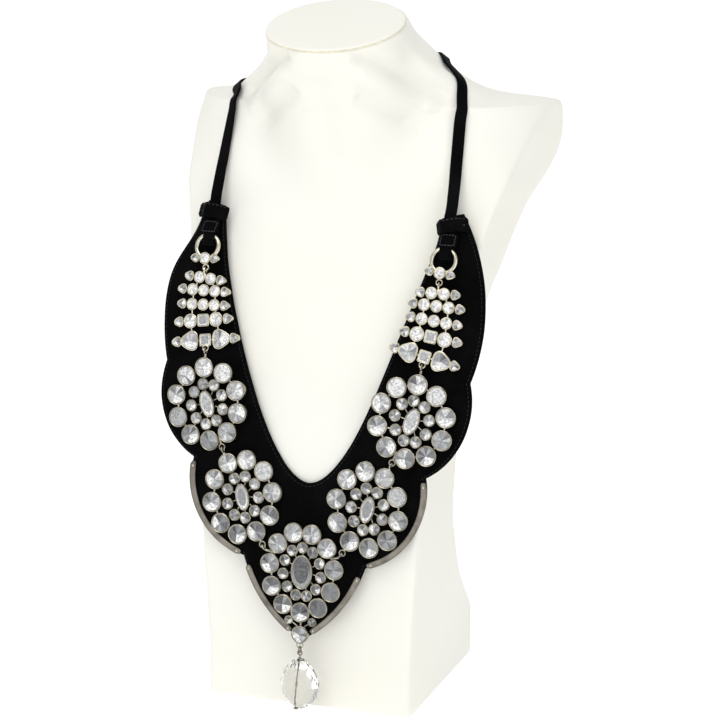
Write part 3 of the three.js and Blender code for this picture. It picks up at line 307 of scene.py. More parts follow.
class StudioSettings(bpy.types.PropertyGroup):
    """The view, the floor and the lights."""

    azimuth: number("Azimuth", "How far the camera stands round to the right", math.radians(19.9),
                    subtype="ANGLE")
    elevation: number("Elevation", "How far the camera looks down", math.radians(12.55), subtype="ANGLE")
    distance: number("Distance", "From the camera to the point it looks at", 1.276, subtype="DISTANCE")
    lens: number("Lens", "Focal length in millimetres", 110)
    floor: colour("Floor", "Colour of the floor and the sweep behind it", (0.9, 0.9, 0.9))
    glow: number("Glow", "How much the floor shines by itself", 0.42)
    daylight: number("Daylight", "Strength of the even light all round", 0.54)
    overhead: number("Overhead", "Power of the large light above, in watts", 6)
    fill: number("Fill", "Power of each of the lights at the sides, in watts", 3.1)


class BustSettings(bpy.types.PropertyGroup):
    """The leatherette bust."""

    skin: colour("Leatherette", "Colour of the leatherette", (0.875, 0.868, 0.81))
    seam: colour("Seam", "Colour of the cut edge in the seam below the cap", (0.86, 0.8, 0.6))
    fold: number("Folds", "Height of the folds in the leatherette, in mm", 5.0)
    grain: number("Grain", "Strength of the leatherette's grain", 0.1)


class VelvetSettings(bpy.types.PropertyGroup):
    """The velvet and its stitching."""

    pile: colour("Pile", "Colour of the velvet", (0.0008, 0.0008, 0.001))
    thread: colour("Thread", "Colour of the sewing thread", (0.014, 0.014, 0.017))
    stitch: number("Stitch", "Length of a stitch, in mm", 1.7, 0.5)
    pitch: number("Pitch", "From one stitch to the next, in mm", 2.5, 1)
    margin: number("Margin", "From the edge to the stitches, in mm", 1.9, 0.5)


class JewelSettings(bpy.types.PropertyGroup):
    """The settings, the stones and the trims."""

    silver: colour("Silver", "Colour of the plated settings", (0.5, 0.47, 0.385))
    antique: colour("Antique silver", "Colour of the darkened trims", (0.27, 0.25, 0.215))
    foil: colour("Foil", "Colour of the foil behind the stones", (0.96, 0.96, 0.955))
    lip: number("Lip", "Width of the lip round a large stone, in mm", 1.0, 0.2)
    depth: number("Depth", "Depth of a cut stone as a share of its radius", 0.28, 0.05)
    seed: IntProperty(name="Seed", description="Picks how each stone is cut and toned", default=7)


# ---- numbers and meshes -------------------------------------------------------------------------

def mix(a, b, t):
    """The value a share t of the way from a to b."""
    return a + (b - a) * t


def smooth_step(low, high, value):
    """A share that rises softly from nought at low to one at high."""
    t = np.clip((value - low) / (high - low), 0, 1)
    return t * t * (3 - 2 * t)


def bell(value):
    """The bell curve exp(-v^2)."""
    return np.exp(-value ** 2)


def unit(v):
    """Vectors scaled to length one, along the last axis."""
    v = np.asarray(v, float)
    return v / np.maximum(np.linalg.norm(v, axis=-1, keepdims=True), 1e-12)


def smooth_curve(x, y, at):
    """Values at the given places of the cubic through the points (x, y) that never overshoots them.

    The slope at a point is the harmonic mean of the slopes on its two sides, or nought where they
    have opposite signs, and each stretch is the Hermite cubic of its end values and slopes."""
    x, y, at = (np.asarray(v, float) for v in (x, y, at))
    step = np.diff(x)
    rise = np.diff(y) / step
    slope = np.zeros_like(y)
    same = rise[1:] * rise[:-1] > 0
    near, far = 2 * step[1:] + step[:-1], step[1:] + 2 * step[:-1]
    safe = [np.where(same, part, 1) for part in (rise[:-1], rise[1:])]
    slope[1:-1] = np.where(same, (near + far) / (near / safe[0] + far / safe[1]), 0)
    slope[0], slope[-1] = rise[0], rise[-1]
    i = np.clip(np.searchsorted(x, at) - 1, 0, len(step) - 1)
    t = (at - x[i]) / step[i]
    return ((1 + 2 * t) * (1 - t) ** 2 * y[i] + t * (1 - t) ** 2 * step[i] * slope[i]
            + t * t * (3 - 2 * t) * y[i + 1] + t * t * (t - 1) * step[i] * slope[i + 1])


def spline(points, count):
    """Points evenly spread by their index along a Catmull-Rom curve through the given ones."""
    p = np.asarray(points, float)
    p = np.concatenate([2 * p[:1] - p[1:2], p, 2 * p[-1:] - p[-2:-1]])
    u = np.linspace(0, len(p) - 3, count)
    i = np.minimum(u.astype(int), len(p) - 4)
    t = (u - i)[:, None]
    a, b, c, d = (p[i + k] for k in range(4))
    return 0.5 * (2 * b + (c - a) * t + (2 * a - 5 * b + 4 * c - d) * t ** 2
                  + (3 * b - a - 3 * c + d) * t ** 3)


def read_along(at, far, rows):
    """Rows that stand at the places far, read at other places between them."""
    return np.stack([np.interp(at, far, column) for column in rows.T], -1)


# A part is its points in millimetres, its four-sided faces and its three-sided ones.

def quads_over(rows, count):
    """Four-sided faces between neighbouring closed rings."""
    i, j = np.meshgrid(np.arange(rows - 1), np.arange(count), indexing="ij")
    here, there, right = i * count, (i + 1) * count, (j + 1) % count
    return np.stack([here + j, here + right, there + right, there + j], -1).reshape(-1, 4)


def fans(rings):
    """Points of closed rings with the middles of the two at the ends, and a fan of triangles over each
    end."""
    rows, count = rings.shape[:2]
    j, tail = np.arange(count), (rows - 1) * count
    right = (j + 1) % count
    low = np.stack([np.full(count, rows * count), right, j], -1)
    high = np.stack([np.full(count, rows * count + 1), tail + j, tail + right], -1)
    return np.concatenate([rings.reshape(-1, 3), rings[[0, -1]].mean(1)]), np.concatenate([low, high])


def shell(rings):
    """A skin over closed rings, an array of rings by points by 3, with a fan over each end."""
    points, ends = fans(rings)
    return points, quads_over(*rings.shape[:2]), ends


def tube(rings):
    """A skin over closed rings whose last ring joins the first one again, as on a wire loop."""
    rows, count = rings.shape[:2]
    return rings.reshape(-1, 3), quads_over(rows + 1, count) % (rows * count), np.zeros((0, 3), int)


def outward(part):
    """The same closed part with its faces turned over where they point inwards."""
    points, quads, tris = part
    corners = np.concatenate([quads[:, :3], quads[:, [0, 2, 3]], tris])
    a, b, c = (points[corners[:, k]] for k in range(3))
    if np.einsum("ij,ij->i", a, np.cross(b, c)).sum() >= 0:
        return part
    return points, quads[:, ::-1], tris[:, ::-1]


def joined(parts):
    """One part from several, with their faces renumbered."""
    starts = np.cumsum([0] + [len(part[0]) for part in parts[:-1]])
    points, quads, tris = zip(*parts)
    quads, tris = ([faces + start for faces, start in zip(kind, starts)] for kind in (quads, tris))
    return tuple(np.concatenate(kind) for kind in (points, quads, tris))


def on_side(part, word):
    """The right side's part, or for the left side its mirror image in the X = 0 plane."""
    points, quads, tris = part
    return part if word == "right" else (points * (-1, 1, 1), quads[:, ::-1], tris[:, ::-1])


def put(name, data):
    """A new object in the scene."""
    item = bpy.data.objects.new(name, data)
    bpy.context.scene.collection.objects.link(item)
    return item


def smooth_mesh(name, points, faces, material):
    """A smoothly shaded mesh of a material, from points in metres."""
    mesh = bpy.data.meshes.new(name)
    mesh.from_pydata(points.tolist(), [], faces)
    mesh.validate()
    mesh.polygons.foreach_set("use_smooth", np.ones(len(mesh.polygons), bool))
    mesh.materials.append(material)
    return mesh


def make_piece(name, part, material, body, nodes=(), sharp=None, tones=None):
    """A Blender object from a part. sharp is the angle from which an edge stays crisp, and tones is a
    value for each face, kept as the attribute "tone"."""
    points, quads, tris = part
    mesh = smooth_mesh(name, points * MM, quads.tolist() + tris.tolist(), material)
    if sharp is not None:
        mesh.set_sharp_from_angle(angle=math.radians(sharp))
    if tones is not None:
        mesh.attributes.new("tone", "FLOAT", "FACE").data.foreach_set("value", tones)
    mesh.update()
    piece = put(name, mesh)
    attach(piece, body)
    if nodes:
        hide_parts(*nodes)
    return piece


# ---- outlines, bands and wires ------------------------------------------------------------------

def turns(count, start=0.0):
    """Angles evenly spread round a circle."""
    return (np.arange(count) + start) * TAU / count


def polar(reach, angle):
    """Flat points at distances and angles from the middle."""
    return np.stack([reach * np.cos(angle), reach * np.sin(angle)], -1)


def oval(angle, half_width, half_height):
    """An ellipse: the cosine and the sine of the angle, each by its half size."""
    return polar(1, angle) * (half_width, half_height)


def trillion(angle, radius):
    """A rounded triangle pointing along +X: a circle whose radius swells with the cosine of three times
    the angle."""
    return polar(radius * (1 + 0.1 * np.cos(3 * angle)), angle)


def square(angle, half):
    """A square with small round corners: the curve |x|^9 + |y|^9 = half^9."""
    return polar(half / (np.abs(np.cos(angle)) ** 9 + np.abs(np.sin(angle)) ** 9) ** (1 / 9), angle)


def pear(angle, half_width, top, bottom):
    """A pear with its point down: an ellipse of two half heights that narrows towards the lower one."""
    x, y = np.cos(angle), np.sin(angle)
    width = half_width * np.where(y < 0, 1 - 0.35 * y * y, 1)
    return np.stack([width * x, np.where(y > 0, top, bottom) * y], -1)


def inset(outline, depth):
    """The outline moved inwards, square to itself, by the depth."""
    along = unit(np.roll(outline, -1, 0) - np.roll(outline, 1, 0))
    return outline - depth * np.stack([along[:, 1], -along[:, 0]], -1)


def raised(outline, height):
    """A flat outline at a height."""
    return np.concatenate([outline, np.full((len(outline), 1), float(height))], 1)


def band_section(width, thickness, arc=5, flat=3):
    """A flat band's section: two half circles as wide as the band is thick, joined by straight lines."""
    radius = thickness / 2
    straight = width / 2 - radius
    end = polar(radius, np.linspace(-np.pi / 2, np.pi / 2, arc)) + (straight, 0)
    line = np.linspace(straight, -straight, flat + 2)[1:-1]
    top = np.stack([line, np.full(flat, radius)], -1)
    return np.concatenate([end, top, -end, -top])


def ribbon(points, faces, section, scales=None):
    """A section carried along a path. Each ring stands square to the path, with the section's second
    direction towards the side that the face looks to, and scales stretches its first one."""
    along = unit(np.gradient(points, axis=0))
    side = unit(np.cross(along, faces))
    out = np.cross(side, along)
    wide = section[None, :, :1] * (1 if scales is None else scales[:, None, None])
    return outward(shell(points[:, None] + wide * side[:, None] + section[None, :, 1:] * out[:, None]))


def wire_ring(radius, wire, count=32, sides=10):
    """A torus flat in the XY plane: a circle of wire carried round a circle."""
    round_, section = turns(count)[:, None], turns(sides)[None]
    flat = polar(radius + wire / 2 * np.cos(section), round_)
    height = wire / 2 * np.sin(section) + 0 * round_
    return outward(tube(np.concatenate([flat, height[..., None]], -1)))


def rod(start, end, radii, shares=(0, 1), sides=10):
    """A round rod from start to end whose radius follows the given radii at the given shares."""
    start, end = np.asarray(start, float), np.asarray(end, float)
    along = unit(end - start)
    other = np.array([1.0, 0, 0]) if abs(along[0]) < 0.8 else np.array([0, 1.0, 0])
    side = unit(np.cross(along, other))
    up = np.cross(side, along)
    angle = turns(sides)[None, :, None]
    middle = start + (end - start) * np.asarray(shares, float)[:, None, None]
    reach = np.asarray(radii, float)[:, None, None]
    return outward(shell(middle + reach * (np.cos(angle) * side + np.sin(angle) * up)))


# How a flat part's directions are swapped so that it faces the front, or stands edge on.
FACING = ([0, 2, 1], (1, -1, 1))
EDGE_ON = ([2, 1, 0], (1, 1, -1))


def turned(part, order, signs, shift=(0, 0, 0)):
    """The part with its directions swapped, each with a sign, and then shifted."""
    return part[0][:, order] * signs + shift, part[1], part[2]


# ---- the bust -----------------------------------------------------------------------------------

def bust_rows(count):
    """The bust's table read at evenly spaced places along the length of its outline."""
    table = np.array(BUST_ROWS, float)
    steps = np.linalg.norm(np.diff(table[:, [0, 2, 3]], axis=0), axis=1)
    length = np.concatenate([[0], np.cumsum(np.maximum(steps, 1))])
    at = np.linspace(0, length[-1], count)
    return {name: smooth_curve(length, table[:, i], at)[:, None] for i, name in enumerate(BUST_COLUMNS)}


def trunk_half(row):
    """Half of each row's section: a power curve across the front, a straight side and a quarter of a
    superellipse behind."""
    across = np.sin(np.linspace(0, np.pi / 2, 120)[None])
    rise = 1 - np.maximum(0, 1 - across ** row["power"]) ** (1 / row["close"])
    t = np.linspace(0, 1, 24)[None, 1:-1]
    angle = np.linspace(0, np.pi / 2, 240)[None]
    x = np.concatenate([row["crease_x"] * across, mix(row["crease_x"], row["rear_x"], t),
                        row["rear_x"] * np.cos(angle) ** (2 / BACK_POWER)], 1)
    y = np.concatenate([mix(row["front"], row["crease_y"], rise), mix(row["crease_y"], row["rear_y"], t),
                        mix(row["rear_y"], row["back"], np.sin(angle) ** (2 / BACK_POWER))], 1)
    x[:, -1] = 0
    return x, y


def neck_reach(row, angle):
    """How far the neck's oval is from a row's core in each direction: the larger root of the quadratic
    that says that the point lies on the ellipse."""
    down = NECK_TOP["z"] - row["z"]
    half_width = NECK_TOP["half_width"] + NECK_FLARE["width"] * down
    half_depth = NECK_TOP["half_depth"] + NECK_FLARE["depth"] * down
    off = row["core"] - (NECK_TOP["y"] + NECK_LEAN * down)
    a = (np.sin(angle) / half_width) ** 2 + (np.cos(angle) / half_depth) ** 2
    b = off * np.cos(angle) / half_depth ** 2
    return (b + np.sqrt(np.maximum(0, b * b - a * ((off / half_depth) ** 2 - 1)))) / a


def with_neck(row, x, y):
    """Half sections in which the neck's oval takes over softly where it reaches further out."""
    turn = np.arctan2(x, row["core"] - y)
    trunk, neck = np.hypot(x, row["core"] - y), neck_reach(row, turn)
    blend = np.maximum(row["blend"], 0.01)
    near = np.maximum(blend - np.abs(trunk - neck), 0) / blend
    both = np.maximum(trunk, neck) + near * near * blend / 4
    reach = mix(trunk, both, smooth_step(*NECK_STARTS, row["z"]))
    return reach * np.sin(turn), row["core"] - reach * np.cos(turn)


def even_rings(rings, count):
    """Closed rings read again at even distances along each of them, and their lengths."""
    closed = np.concatenate([rings, rings[:, :1]], 1)
    steps = np.cumsum(np.linalg.norm(np.diff(closed, axis=1), axis=2), 1)
    length = np.concatenate([np.zeros((len(rings), 1)), steps], 1)
    at = np.arange(count) / count
    even = [read_along(at * far[-1], far, ring) for far, ring in zip(length, closed)]
    return np.stack(even), length[:, -1]


def softened(rings, lengths, spread):
    """Closed rings blurred along their length by a bell curve of the given spread in millimetres: each
    frequency of the ring fades with the square of its number of turns."""
    waves = np.fft.rfft(rings, axis=1)
    order = np.arange(waves.shape[1])[None, :, None]
    fade = np.exp(-0.5 * (TAU * order * spread / lengths[:, None, None]) ** 2)
    return np.fft.irfft(waves * fade, n=rings.shape[1], axis=1)


def bust_rings(rows, columns):
    """Whole sections of the bust, sheared, evenly read, and softened at the creases and shoulders."""
    row = bust_rows(rows)
    x, y = with_neck(row, *trunk_half(row))
    x, y = np.concatenate([x, -x[:, -2:0:-1]], 1), np.concatenate([y, y[:, -2:0:-1]], 1)
    pivot = NECK_TOP["y"] + NECK_LEAN * (NECK_TOP["z"] - row["z"])
    rings = np.stack([x, y, row["z"] + row["shear"] * (y - pivot)], -1)
    rings = softened(*even_rings(rings, 2 * columns), CREASE_SPREAD)[:, ::2]
    for _ in range(3):
        rings[2:-2] = (rings[1:-3] + 2 * rings[2:-2] + rings[3:-1]) / 4
    height = rings[..., 2].mean(1)[:, None, None]
    soft = smooth_step(*SHOULDERS["from"], height) * (1 - smooth_step(*SHOULDERS["to"], height))
    soft = SHOULDERS["share"] * soft * (1 - smooth_step(*SHOULDERS["x"], np.abs(rings[..., :1])))
    for _ in range(SHOULDERS["rounds"]):
        rings[2:-2] = mix(rings[2:-2], (rings[1:-3] + rings[3:-1]) / 2, soft[2:-2])
    return rings


def fold_height(x, z):
    """Height of the folds at points of the front view: for each, a bell curve of the distance from the
    line through its places, fading towards its two ends."""
    total = np.zeros_like(x)
    for line, width, share in FOLDS:
        path = spline(line, FOLD_STEPS)
        off = np.hypot(x[..., None] - path[:, 0], z[..., None] - path[:, 1])
        near = off.argmin(-1)
        fade = smooth_step(0, 5, np.minimum(near, FOLD_STEPS - 1 - near) + 1.5)
        total += share * fade * bell(off.min(-1) / width)
    return total


def bust_part(fold):
    """The bust's skin: its rings, pushed out where they face the front by the height of the folds, and
    drawn in below in the round edge of the foot."""
    rings = bust_rings(200, 256)
    normal = unit(np.cross(np.roll(rings, -1, 1) - np.roll(rings, 1, 1), np.gradient(rings, axis=0)))
    facing = smooth_step(-0.15, 0.25, -normal[..., 1])
    rings += (fold * fold_height(rings[..., 0], rings[..., 2]) * facing)[..., None] * normal
    middle = rings[:1].mean(1, keepdims=True)
    tuck = np.array(FOOT_EDGE)[:, None]
    base = middle + (rings[:1] - middle) * tuck[..., :1]
    base[..., 2] = tuck[..., 1]
    rings[1:4, :, 2] = np.maximum(rings[1:4, :, 2], FOOT_RISE)
    return outward(shell(np.concatenate([base, rings[1:]])))


def cap_point(lift, scale, angle):
    """A point round the neck's top: its ellipse by a scale, leaned as the neck does, lifted off it."""
    across = NECK_TOP["half_width"] * scale * np.sin(angle)
    depth = -NECK_TOP["half_depth"] * scale * np.cos(angle)
    return np.stack([across, NECK_TOP["y"] - NECK_LEAN * lift + depth,
                     NECK_TOP["z"] + lift + NECK_LEAN * depth], -1)


def cap_part():
    """The padded cap: a rolled rim and a low dome, as rings of the neck's ellipse by height and scale."""
    scale = np.linspace(0.8, 0.04, 14)
    dome = np.stack([CAP_DOME["height"] + CAP_DOME["rise"] * (1 - scale ** 2) ** 1.5, scale], -1)
    rings = np.concatenate([CAP_RIM, dome])
    return outward(shell(cap_point(rings[:, :1], rings[:, 1:], turns(128)[None])))


def seam_part():
    """The cut edge that shows between the neck and its cap: a thin round bead along the ellipse."""
    section = turns(8)[None]
    return outward(tube(cap_point(SEAM["lift"] + SEAM["tall"] * np.sin(section),
                                  SEAM["scale"] + SEAM["deep"] * np.cos(section), turns(128)[:, None])))


# ---- the velvet bib -----------------------------------------------------------------------------

def velvet_face(x, z):
    """How far back the velvet's face stands at points of the front view: the chest's profile, its crown
    across, and the padding that lifts the middle of each arm."""
    up = z - TIP_Z
    profile = (CHEST["tip_y"] + CHEST["slope"] * up
               + CHEST["rise"] * np.sign(up) * np.abs(up / CHEST["height"]) ** CHEST["power"])
    crown = CHEST["crown"] * smooth_step(*CHEST["crown_z"], z) * (x / CHEST["crown_width"]) ** 2
    ridge = PADDING["centre_x"] - PADDING["bend"] * (z - PADDING["centre_z"]) ** 2
    padding = bell((np.abs(x) - ridge) / PADDING["width"])
    return profile + crown - PADDING["depth"] * smooth_step(*PADDING["z"], z) * padding


def on_velvet(x, z):
    """A frame on the velvet: its point, and the directions across, up the velvet and outwards."""
    h = 0.01
    slope_x = (velvet_face(x + h, z) - velvet_face(x - h, z)) / (2 * h)
    slope_z = (velvet_face(x, z + h) - velvet_face(x, z - h)) / (2 * h)
    out = unit([slope_x, -1, slope_z])
    up = unit(np.array([0, 0, 1]) - out * out[2])
    return np.array([x, velvet_face(x, z), z]), np.cross(up, out), up, out


def placed(part, frame, a=0.0, b=0.0, lift=0.0, turn=0.0):
    """A part made flat, with X across, Y up and Z outwards, turned clockwise and put on the velvet."""
    point, across, up, out = frame
    x, y, z = part[0].T
    c, s = math.cos(math.radians(turn)), math.sin(math.radians(turn))
    x, y = x * c + y * s + a, y * c - x * s + b
    return point + np.stack([x, y, z + lift], -1) @ np.stack([across, up, out]), part[1], part[2]


def spot_on(frame, a, b, lift):
    """A place given across, up and off the velvet from a frame's point."""
    return frame[0] + a * frame[1] + b * frame[2] + lift * frame[3]


def bowed_arc(lobe, t):
    """Points of the circle's arc between a lobe's two corners that bows out by the given depth."""
    dx, dz = lobe["x1"] - lobe["x0"], lobe["z1"] - lobe["z0"]
    chord = math.hypot(dx, dz)
    radius = (chord * chord / 4 + lobe["bow"] ** 2) / (2 * lobe["bow"])
    angle = math.asin(chord / 2 / radius) * (2 * np.asarray(t) - 1)
    along = chord / 2 + radius * np.sin(angle)
    out = radius * np.cos(angle) - (radius - lobe["bow"])
    dx, dz = dx / chord, dz / chord
    return np.stack([lobe["x0"] + along * dx + out * dz, lobe["z0"] + along * dz - out * dx], -1)


def hem_at(share):
    """Places on the hem's lobes at shares of the bib's half length."""
    places = np.zeros((len(share), 2))
    for lobe in HEM_LOBES:
        inside = (share >= lobe["from"]) & (share <= lobe["to"])
        places[inside] = bowed_arc(lobe, (share[inside] - lobe["from"]) / (lobe["to"] - lobe["from"]))
    return places


def neckline_at(share):
    """Places on the neckline, which widens with a power of the height."""
    up = share ** NECKLINE_SPREAD
    return np.stack([ARM_TOP["in_x"] * up ** NECKLINE_POWER,
                     NECKLINE_Z + (ARM_TOP["in_z"] - NECKLINE_Z) * up], -1)


def bib_face(shares, far):
    """Points of the bib's face at signed shares of its half length, each with its distances from the
    neckline, in millimetres (negative ones count from the hem). The left arm's outer edge rolls
    under, the neckline is drawn over on each arm, the inner edges are raised hems, and the product of
    two slow sines ripples the whole."""
    inner, outer = neckline_at(np.abs(shares)), hem_at(np.abs(shares))
    width = np.linalg.norm(outer - inner, axis=1)[:, None]
    far = np.where(far < 0, width + far, far)
    t = far / width
    x, z = (mix(inner[:, k:k + 1], outer[:, k:k + 1], t) for k in range(2))
    side = np.where(shares < 0, -1, 1)[:, None]
    roll = np.where(side < 0, bell((z - ROLL["z"]) / ROLL["reach"]) * t ** 3, 0)
    height = np.clip(z, NECK_DRAW[0, 0], NECK_DRAW[-1, 0])
    right, left = (smooth_curve(NECK_DRAW[:, 0], NECK_DRAW[:, k], height) for k in (1, 2))
    x = side * x + np.where(side > 0, right, left) * (1 - t) ** 2
    y = velvet_face(x, z) + ROLL["back"] * roll
    y -= ARM_HEM["height"] * smooth_step(*ARM_HEM["z"], z) * bell((far - ARM_HEM["far"]) / ARM_HEM["width"])
    y -= RIPPLE * np.sin(0.31 * x + 0.05 * z) * np.sin(0.23 * z - 0.07 * x)
    return np.stack([x - side * ROLL["in"] * roll, y, z], -1), far, width


def bib_shares():
    """Shares of the bib's half length, closer together on the lobes and at the ends."""
    parts = [np.linspace(lobe["from"], lobe["to"], count, endpoint=False)
             for lobe, count in zip(HEM_LOBES, (28, 34, 48, 70))]
    ends = 1 - np.array([0, 0.0008, 0.002, 0.0036, 0.0054])
    half = np.unique(np.round(np.concatenate([*parts, ends]), 6))
    return np.concatenate([-half[:0:-1], half])


def bib_part(margin):
    """The bib as a closed shell, and its area: its face and its lining stand half the velvet's thickness
    off the middle, less near the edges, where a quarter circle rounds them, and less in the groove."""
    shares = bib_shares()
    near = np.array([*EDGE_STEPS, *(margin + step for step in GROOVE_STEPS)])
    width = bib_face(shares, np.zeros((len(shares), 1)))[2]
    inside = mix(near[-1] + 0.8, width - near[-1] - 0.8, np.linspace(0, 1, 18)[None])
    far = np.concatenate([np.tile(near, (len(shares), 1)), inside, width - near[None, ::-1]], 1)
    face, far, width = bib_face(shares, far)
    edge = np.minimum(far, width - far)
    end = (1 - np.abs(shares))[:, None] * SHARE_LENGTH
    edge_in = np.clip(np.minimum(edge, end) / (VELVET / 2), 0, 1)
    half = VELVET / 2 * np.sqrt(1 - (1 - edge_in) ** 2)
    front, lining = face.copy(), face[:, ::-1].copy()
    front[..., 1] += VELVET / 2 - half + GROOVE["depth"] * bell((edge - margin) / GROOVE["width"])
    lining[..., 1] += VELVET / 2 + half[:, ::-1]
    corners = np.cross(face[1:, 1:] - face[:-1, :-1], face[1:, :-1] - face[:-1, 1:])
    area = np.linalg.norm(corners, axis=2).sum() / 2
    return outward(shell(np.concatenate([front, lining[:, 1:-1]], 1))), area


def dashes(points, faces, length, pitch, radius):
    """Stitches along a line: short rods with round ends, at even distances, lying along it."""
    far = np.concatenate([[0], np.cumsum(np.linalg.norm(np.diff(points, axis=0), axis=1))])
    count = max(2, int(far[-1] / pitch))
    at = (np.arange(count) + 0.5) * far[-1] / count
    middle = read_along(at, far, points)
    along = unit(read_along(at + 0.3, far, points) - read_along(at - 0.3, far, points))
    side = unit(np.cross(along, unit(read_along(at, far, faces))))
    out = np.cross(side, along)
    reach = np.array([0.35, 0.9, 1.0, 0.9, 0.35])[:, None] * radius
    run = np.array([-0.5, -0.36, 0.0, 0.36, 0.5])[:, None] * length
    arch = np.array([-0.9, -0.1, 0.25, -0.1, -0.9])[:, None] * radius
    angle = turns(6)[None]
    shape = np.stack([run + 0 * angle, reach * np.cos(angle), arch + 0.8 * reach * np.sin(angle)], -1)
    axes = np.stack([along, side, out], 1)
    rings = middle[:, None, None] + np.einsum("abk,nkc->nabc", shape, axes)
    return joined([outward(shell(one)) for one in rings])


def bib_stitches(length, pitch, margin):
    """Stitches along the neckline, the hem and the arms' ends, just inside the edges."""
    shares = np.linspace(-0.99, 0.99, 1200)
    lines = [bib_face(shares, np.full((len(shares), 1), far))[0][:, 0] for far in (margin, -margin)]
    across = np.linspace(margin + 1, 14, 20)[None]
    lines += [bib_face(np.array([side * 0.991]), across)[0][0] for side in (-1, 1)]
    return joined([dashes(line - (0, 0.02, 0), np.tile((0, -1.0, 0.05), (len(line), 1)), length, pitch,
                          THREAD) for line in lines])


# ---- the strap ----------------------------------------------------------------------------------

def strap_fold(word):
    """Places of the strap on one arm, from the top of its lower layer behind the keeper, down, in a
    half circle round the ring, and up again in front; each is a height and a lift on the velvet, and
    the share of the strap's face that looks back at it and that looks up."""
    point, _, up, out = on_velvet(ARM_X[word], RING["z"])
    angle = np.linspace(0, np.pi, 9)
    turn = np.stack([FOLD["rise"] - FOLD["radius"] * np.sin(angle),
                     RING["lift"] - FOLD["radius"] * np.cos(angle), np.cos(angle), -np.sin(angle)], -1)
    low, middle, high = (height for height, _ in LAYERS)
    behind = [(high, LOWER_LIFT, 1, 0), (middle, LOWER_LIFT, 1, 0),
              (low, RING["lift"] - FOLD["radius"], 1, 0)]
    places = np.concatenate([behind, turn, [(*layer, -1, 0) for layer in LAYERS]])
    points = point + places[:, :1] * up + places[:, 1:2] * out
    return points, unit(-places[:, 2:3] * out + places[:, 3:] * up)


def strap_over_bust(tree, route):
    """The strap's places on the bust along a route: one under the skin is lifted clear of it along its
    face, and hollows are bridged, because the strap is taut."""
    rows = len(route)
    points = spline(route[:, :3], (rows - 1) * 2 + 1)
    faces = unit(read_along(np.linspace(0, rows - 1, len(points)), np.arange(rows), route[:, 3:]))
    sides = unit(np.cross(unit(np.gradient(points, axis=0)), faces))
    reach = 30.0
    for point, face, side in zip(points, faces, sides):
        lifts = []
        for share in (-0.5, -0.25, 0, 0.25, 0.5):
            start = Vector(point + share * STRAP["width"] * side + face * reach)
            hit = tree.ray_cast(start, Vector(-face))
            lifts.append(reach - hit[3] if hit[0] is not None else -reach)
        point += face * max(0.0, max(lifts) + STRAP["thickness"] / 2 + STRAP["clearance"])
    for _ in range(6):
        lift = np.einsum("ij,ij->i", (points[:-2] + points[2:]) / 2 - points[1:-1], faces[1:-1])
        points[1:-1] += np.maximum(lift, 0)[:, None] * faces[1:-1]
    return points, faces


def strap_part(bust):
    """The whole strap as a flat band: up the right arm and over the bust to the nape, and down again on
    the left."""
    tree = BVHTree.FromPolygons(bust[0].tolist(), bust[1].tolist() + bust[2].tolist())
    halves = []
    for word, flip in (("right", 1), ("left", (-1, 1, 1))):
        over = strap_over_bust(tree, STRAP_ROUTE[word])
        halves.append([np.concatenate([fold * flip, rest]) for fold, rest in zip(strap_fold(word), over)])
    points, faces = (np.concatenate([right, left[-2::-1]]) for right, left in zip(*halves))
    count = (len(points) - 1) * 6 + 1
    section = band_section(STRAP["width"], STRAP["thickness"])
    return ribbon(spline(points, count), unit(spline(faces, count)), section)


def keeper_path(word):
    """Where the keeper's cloth runs: across the velvet, over both layers of the strap, and off it."""
    side = KEEPER_SIDES[word]
    inner, over = KEEPER["inner"], KEEPER["over"] + KEEPER["thickness"] / 2 - 0.1
    places = [(-side["inwards"], 1.2), (-inner - 1.4, 2.2), (-inner - 0.2, over - 1.4), (-inner + 1.6, over),
              (0, over + 0.2), (inner - 1.6, over), (inner + 0.4, over - 1.2), (inner + 2.6, 2.6),
              (mix(inner + 2.6, side["outwards"], 0.5), 1.9), (side["outwards"], 1.2)]
    return spline(places, KEEPER["steps"])


def keeper_line(word, path, b, lift):
    """Points and faces of a line on the keeper, b up from its middle and lifted off its path, on the
    velvet and tilted as the keeper is."""
    frame = on_velvet(ARM_X[word], KEEPER_SIDES[word]["z"])
    angle = math.radians(KEEPER_SIDES[word]["turn"])
    across = math.cos(angle) * frame[1] + math.sin(angle) * frame[2]
    up = math.cos(angle) * frame[2] - math.sin(angle) * frame[1]
    slope = unit(np.gradient(path, axis=0))
    faces = slope[:, :1] * frame[3] - slope[:, 1:] * across
    points = frame[0] + path[:, :1] * across + b * up + path[:, 1:] * frame[3]
    return points + lift * faces, faces


def keeper_part(word):
    """The keeper: a flat band of cloth with round corners and a slightly uneven edge."""
    points, faces = keeper_line(word, keeper_path(word), 0, 0)
    place = np.linspace(0, 1, len(points))
    ragged = 1 + 0.03 * np.sin(57 * place) + 0.025 * np.sin(131 * place + 1)
    ragged -= 0.3 * (2 * np.abs(place - 0.5)) ** 14
    return ribbon(points, faces, band_section(KEEPER["height"], KEEPER["thickness"], 9, 5), ragged)


def tab_lift(outline):
    """How far off the velvet the fold's front face stands under the tab, less where the tab's sides
    bend back."""
    fold = np.interp(TAB["b"] + outline[:, 1], *zip(*LAYERS)) + STRAP["thickness"] / 2
    return fold - TAB["bend"] * outline[:, 0] ** 2


def tab_part(word):
    """The square of velvet sewn on the strap below the keeper: a rounded square, domed, on the fold's
    front layer."""
    rings = []
    for scale, lift in TAB_RINGS:
        outline = square(turns(48), TAB["half"]) * scale * (1, TAB["tall"])
        rings.append(np.concatenate([outline, (tab_lift(outline) + 0.05 + lift)[:, None]], 1))
    frame = on_velvet(ARM_X[word], RING["z"])
    return placed(outward(shell(np.stack(rings))), frame, TAB["a"][word], TAB["b"])


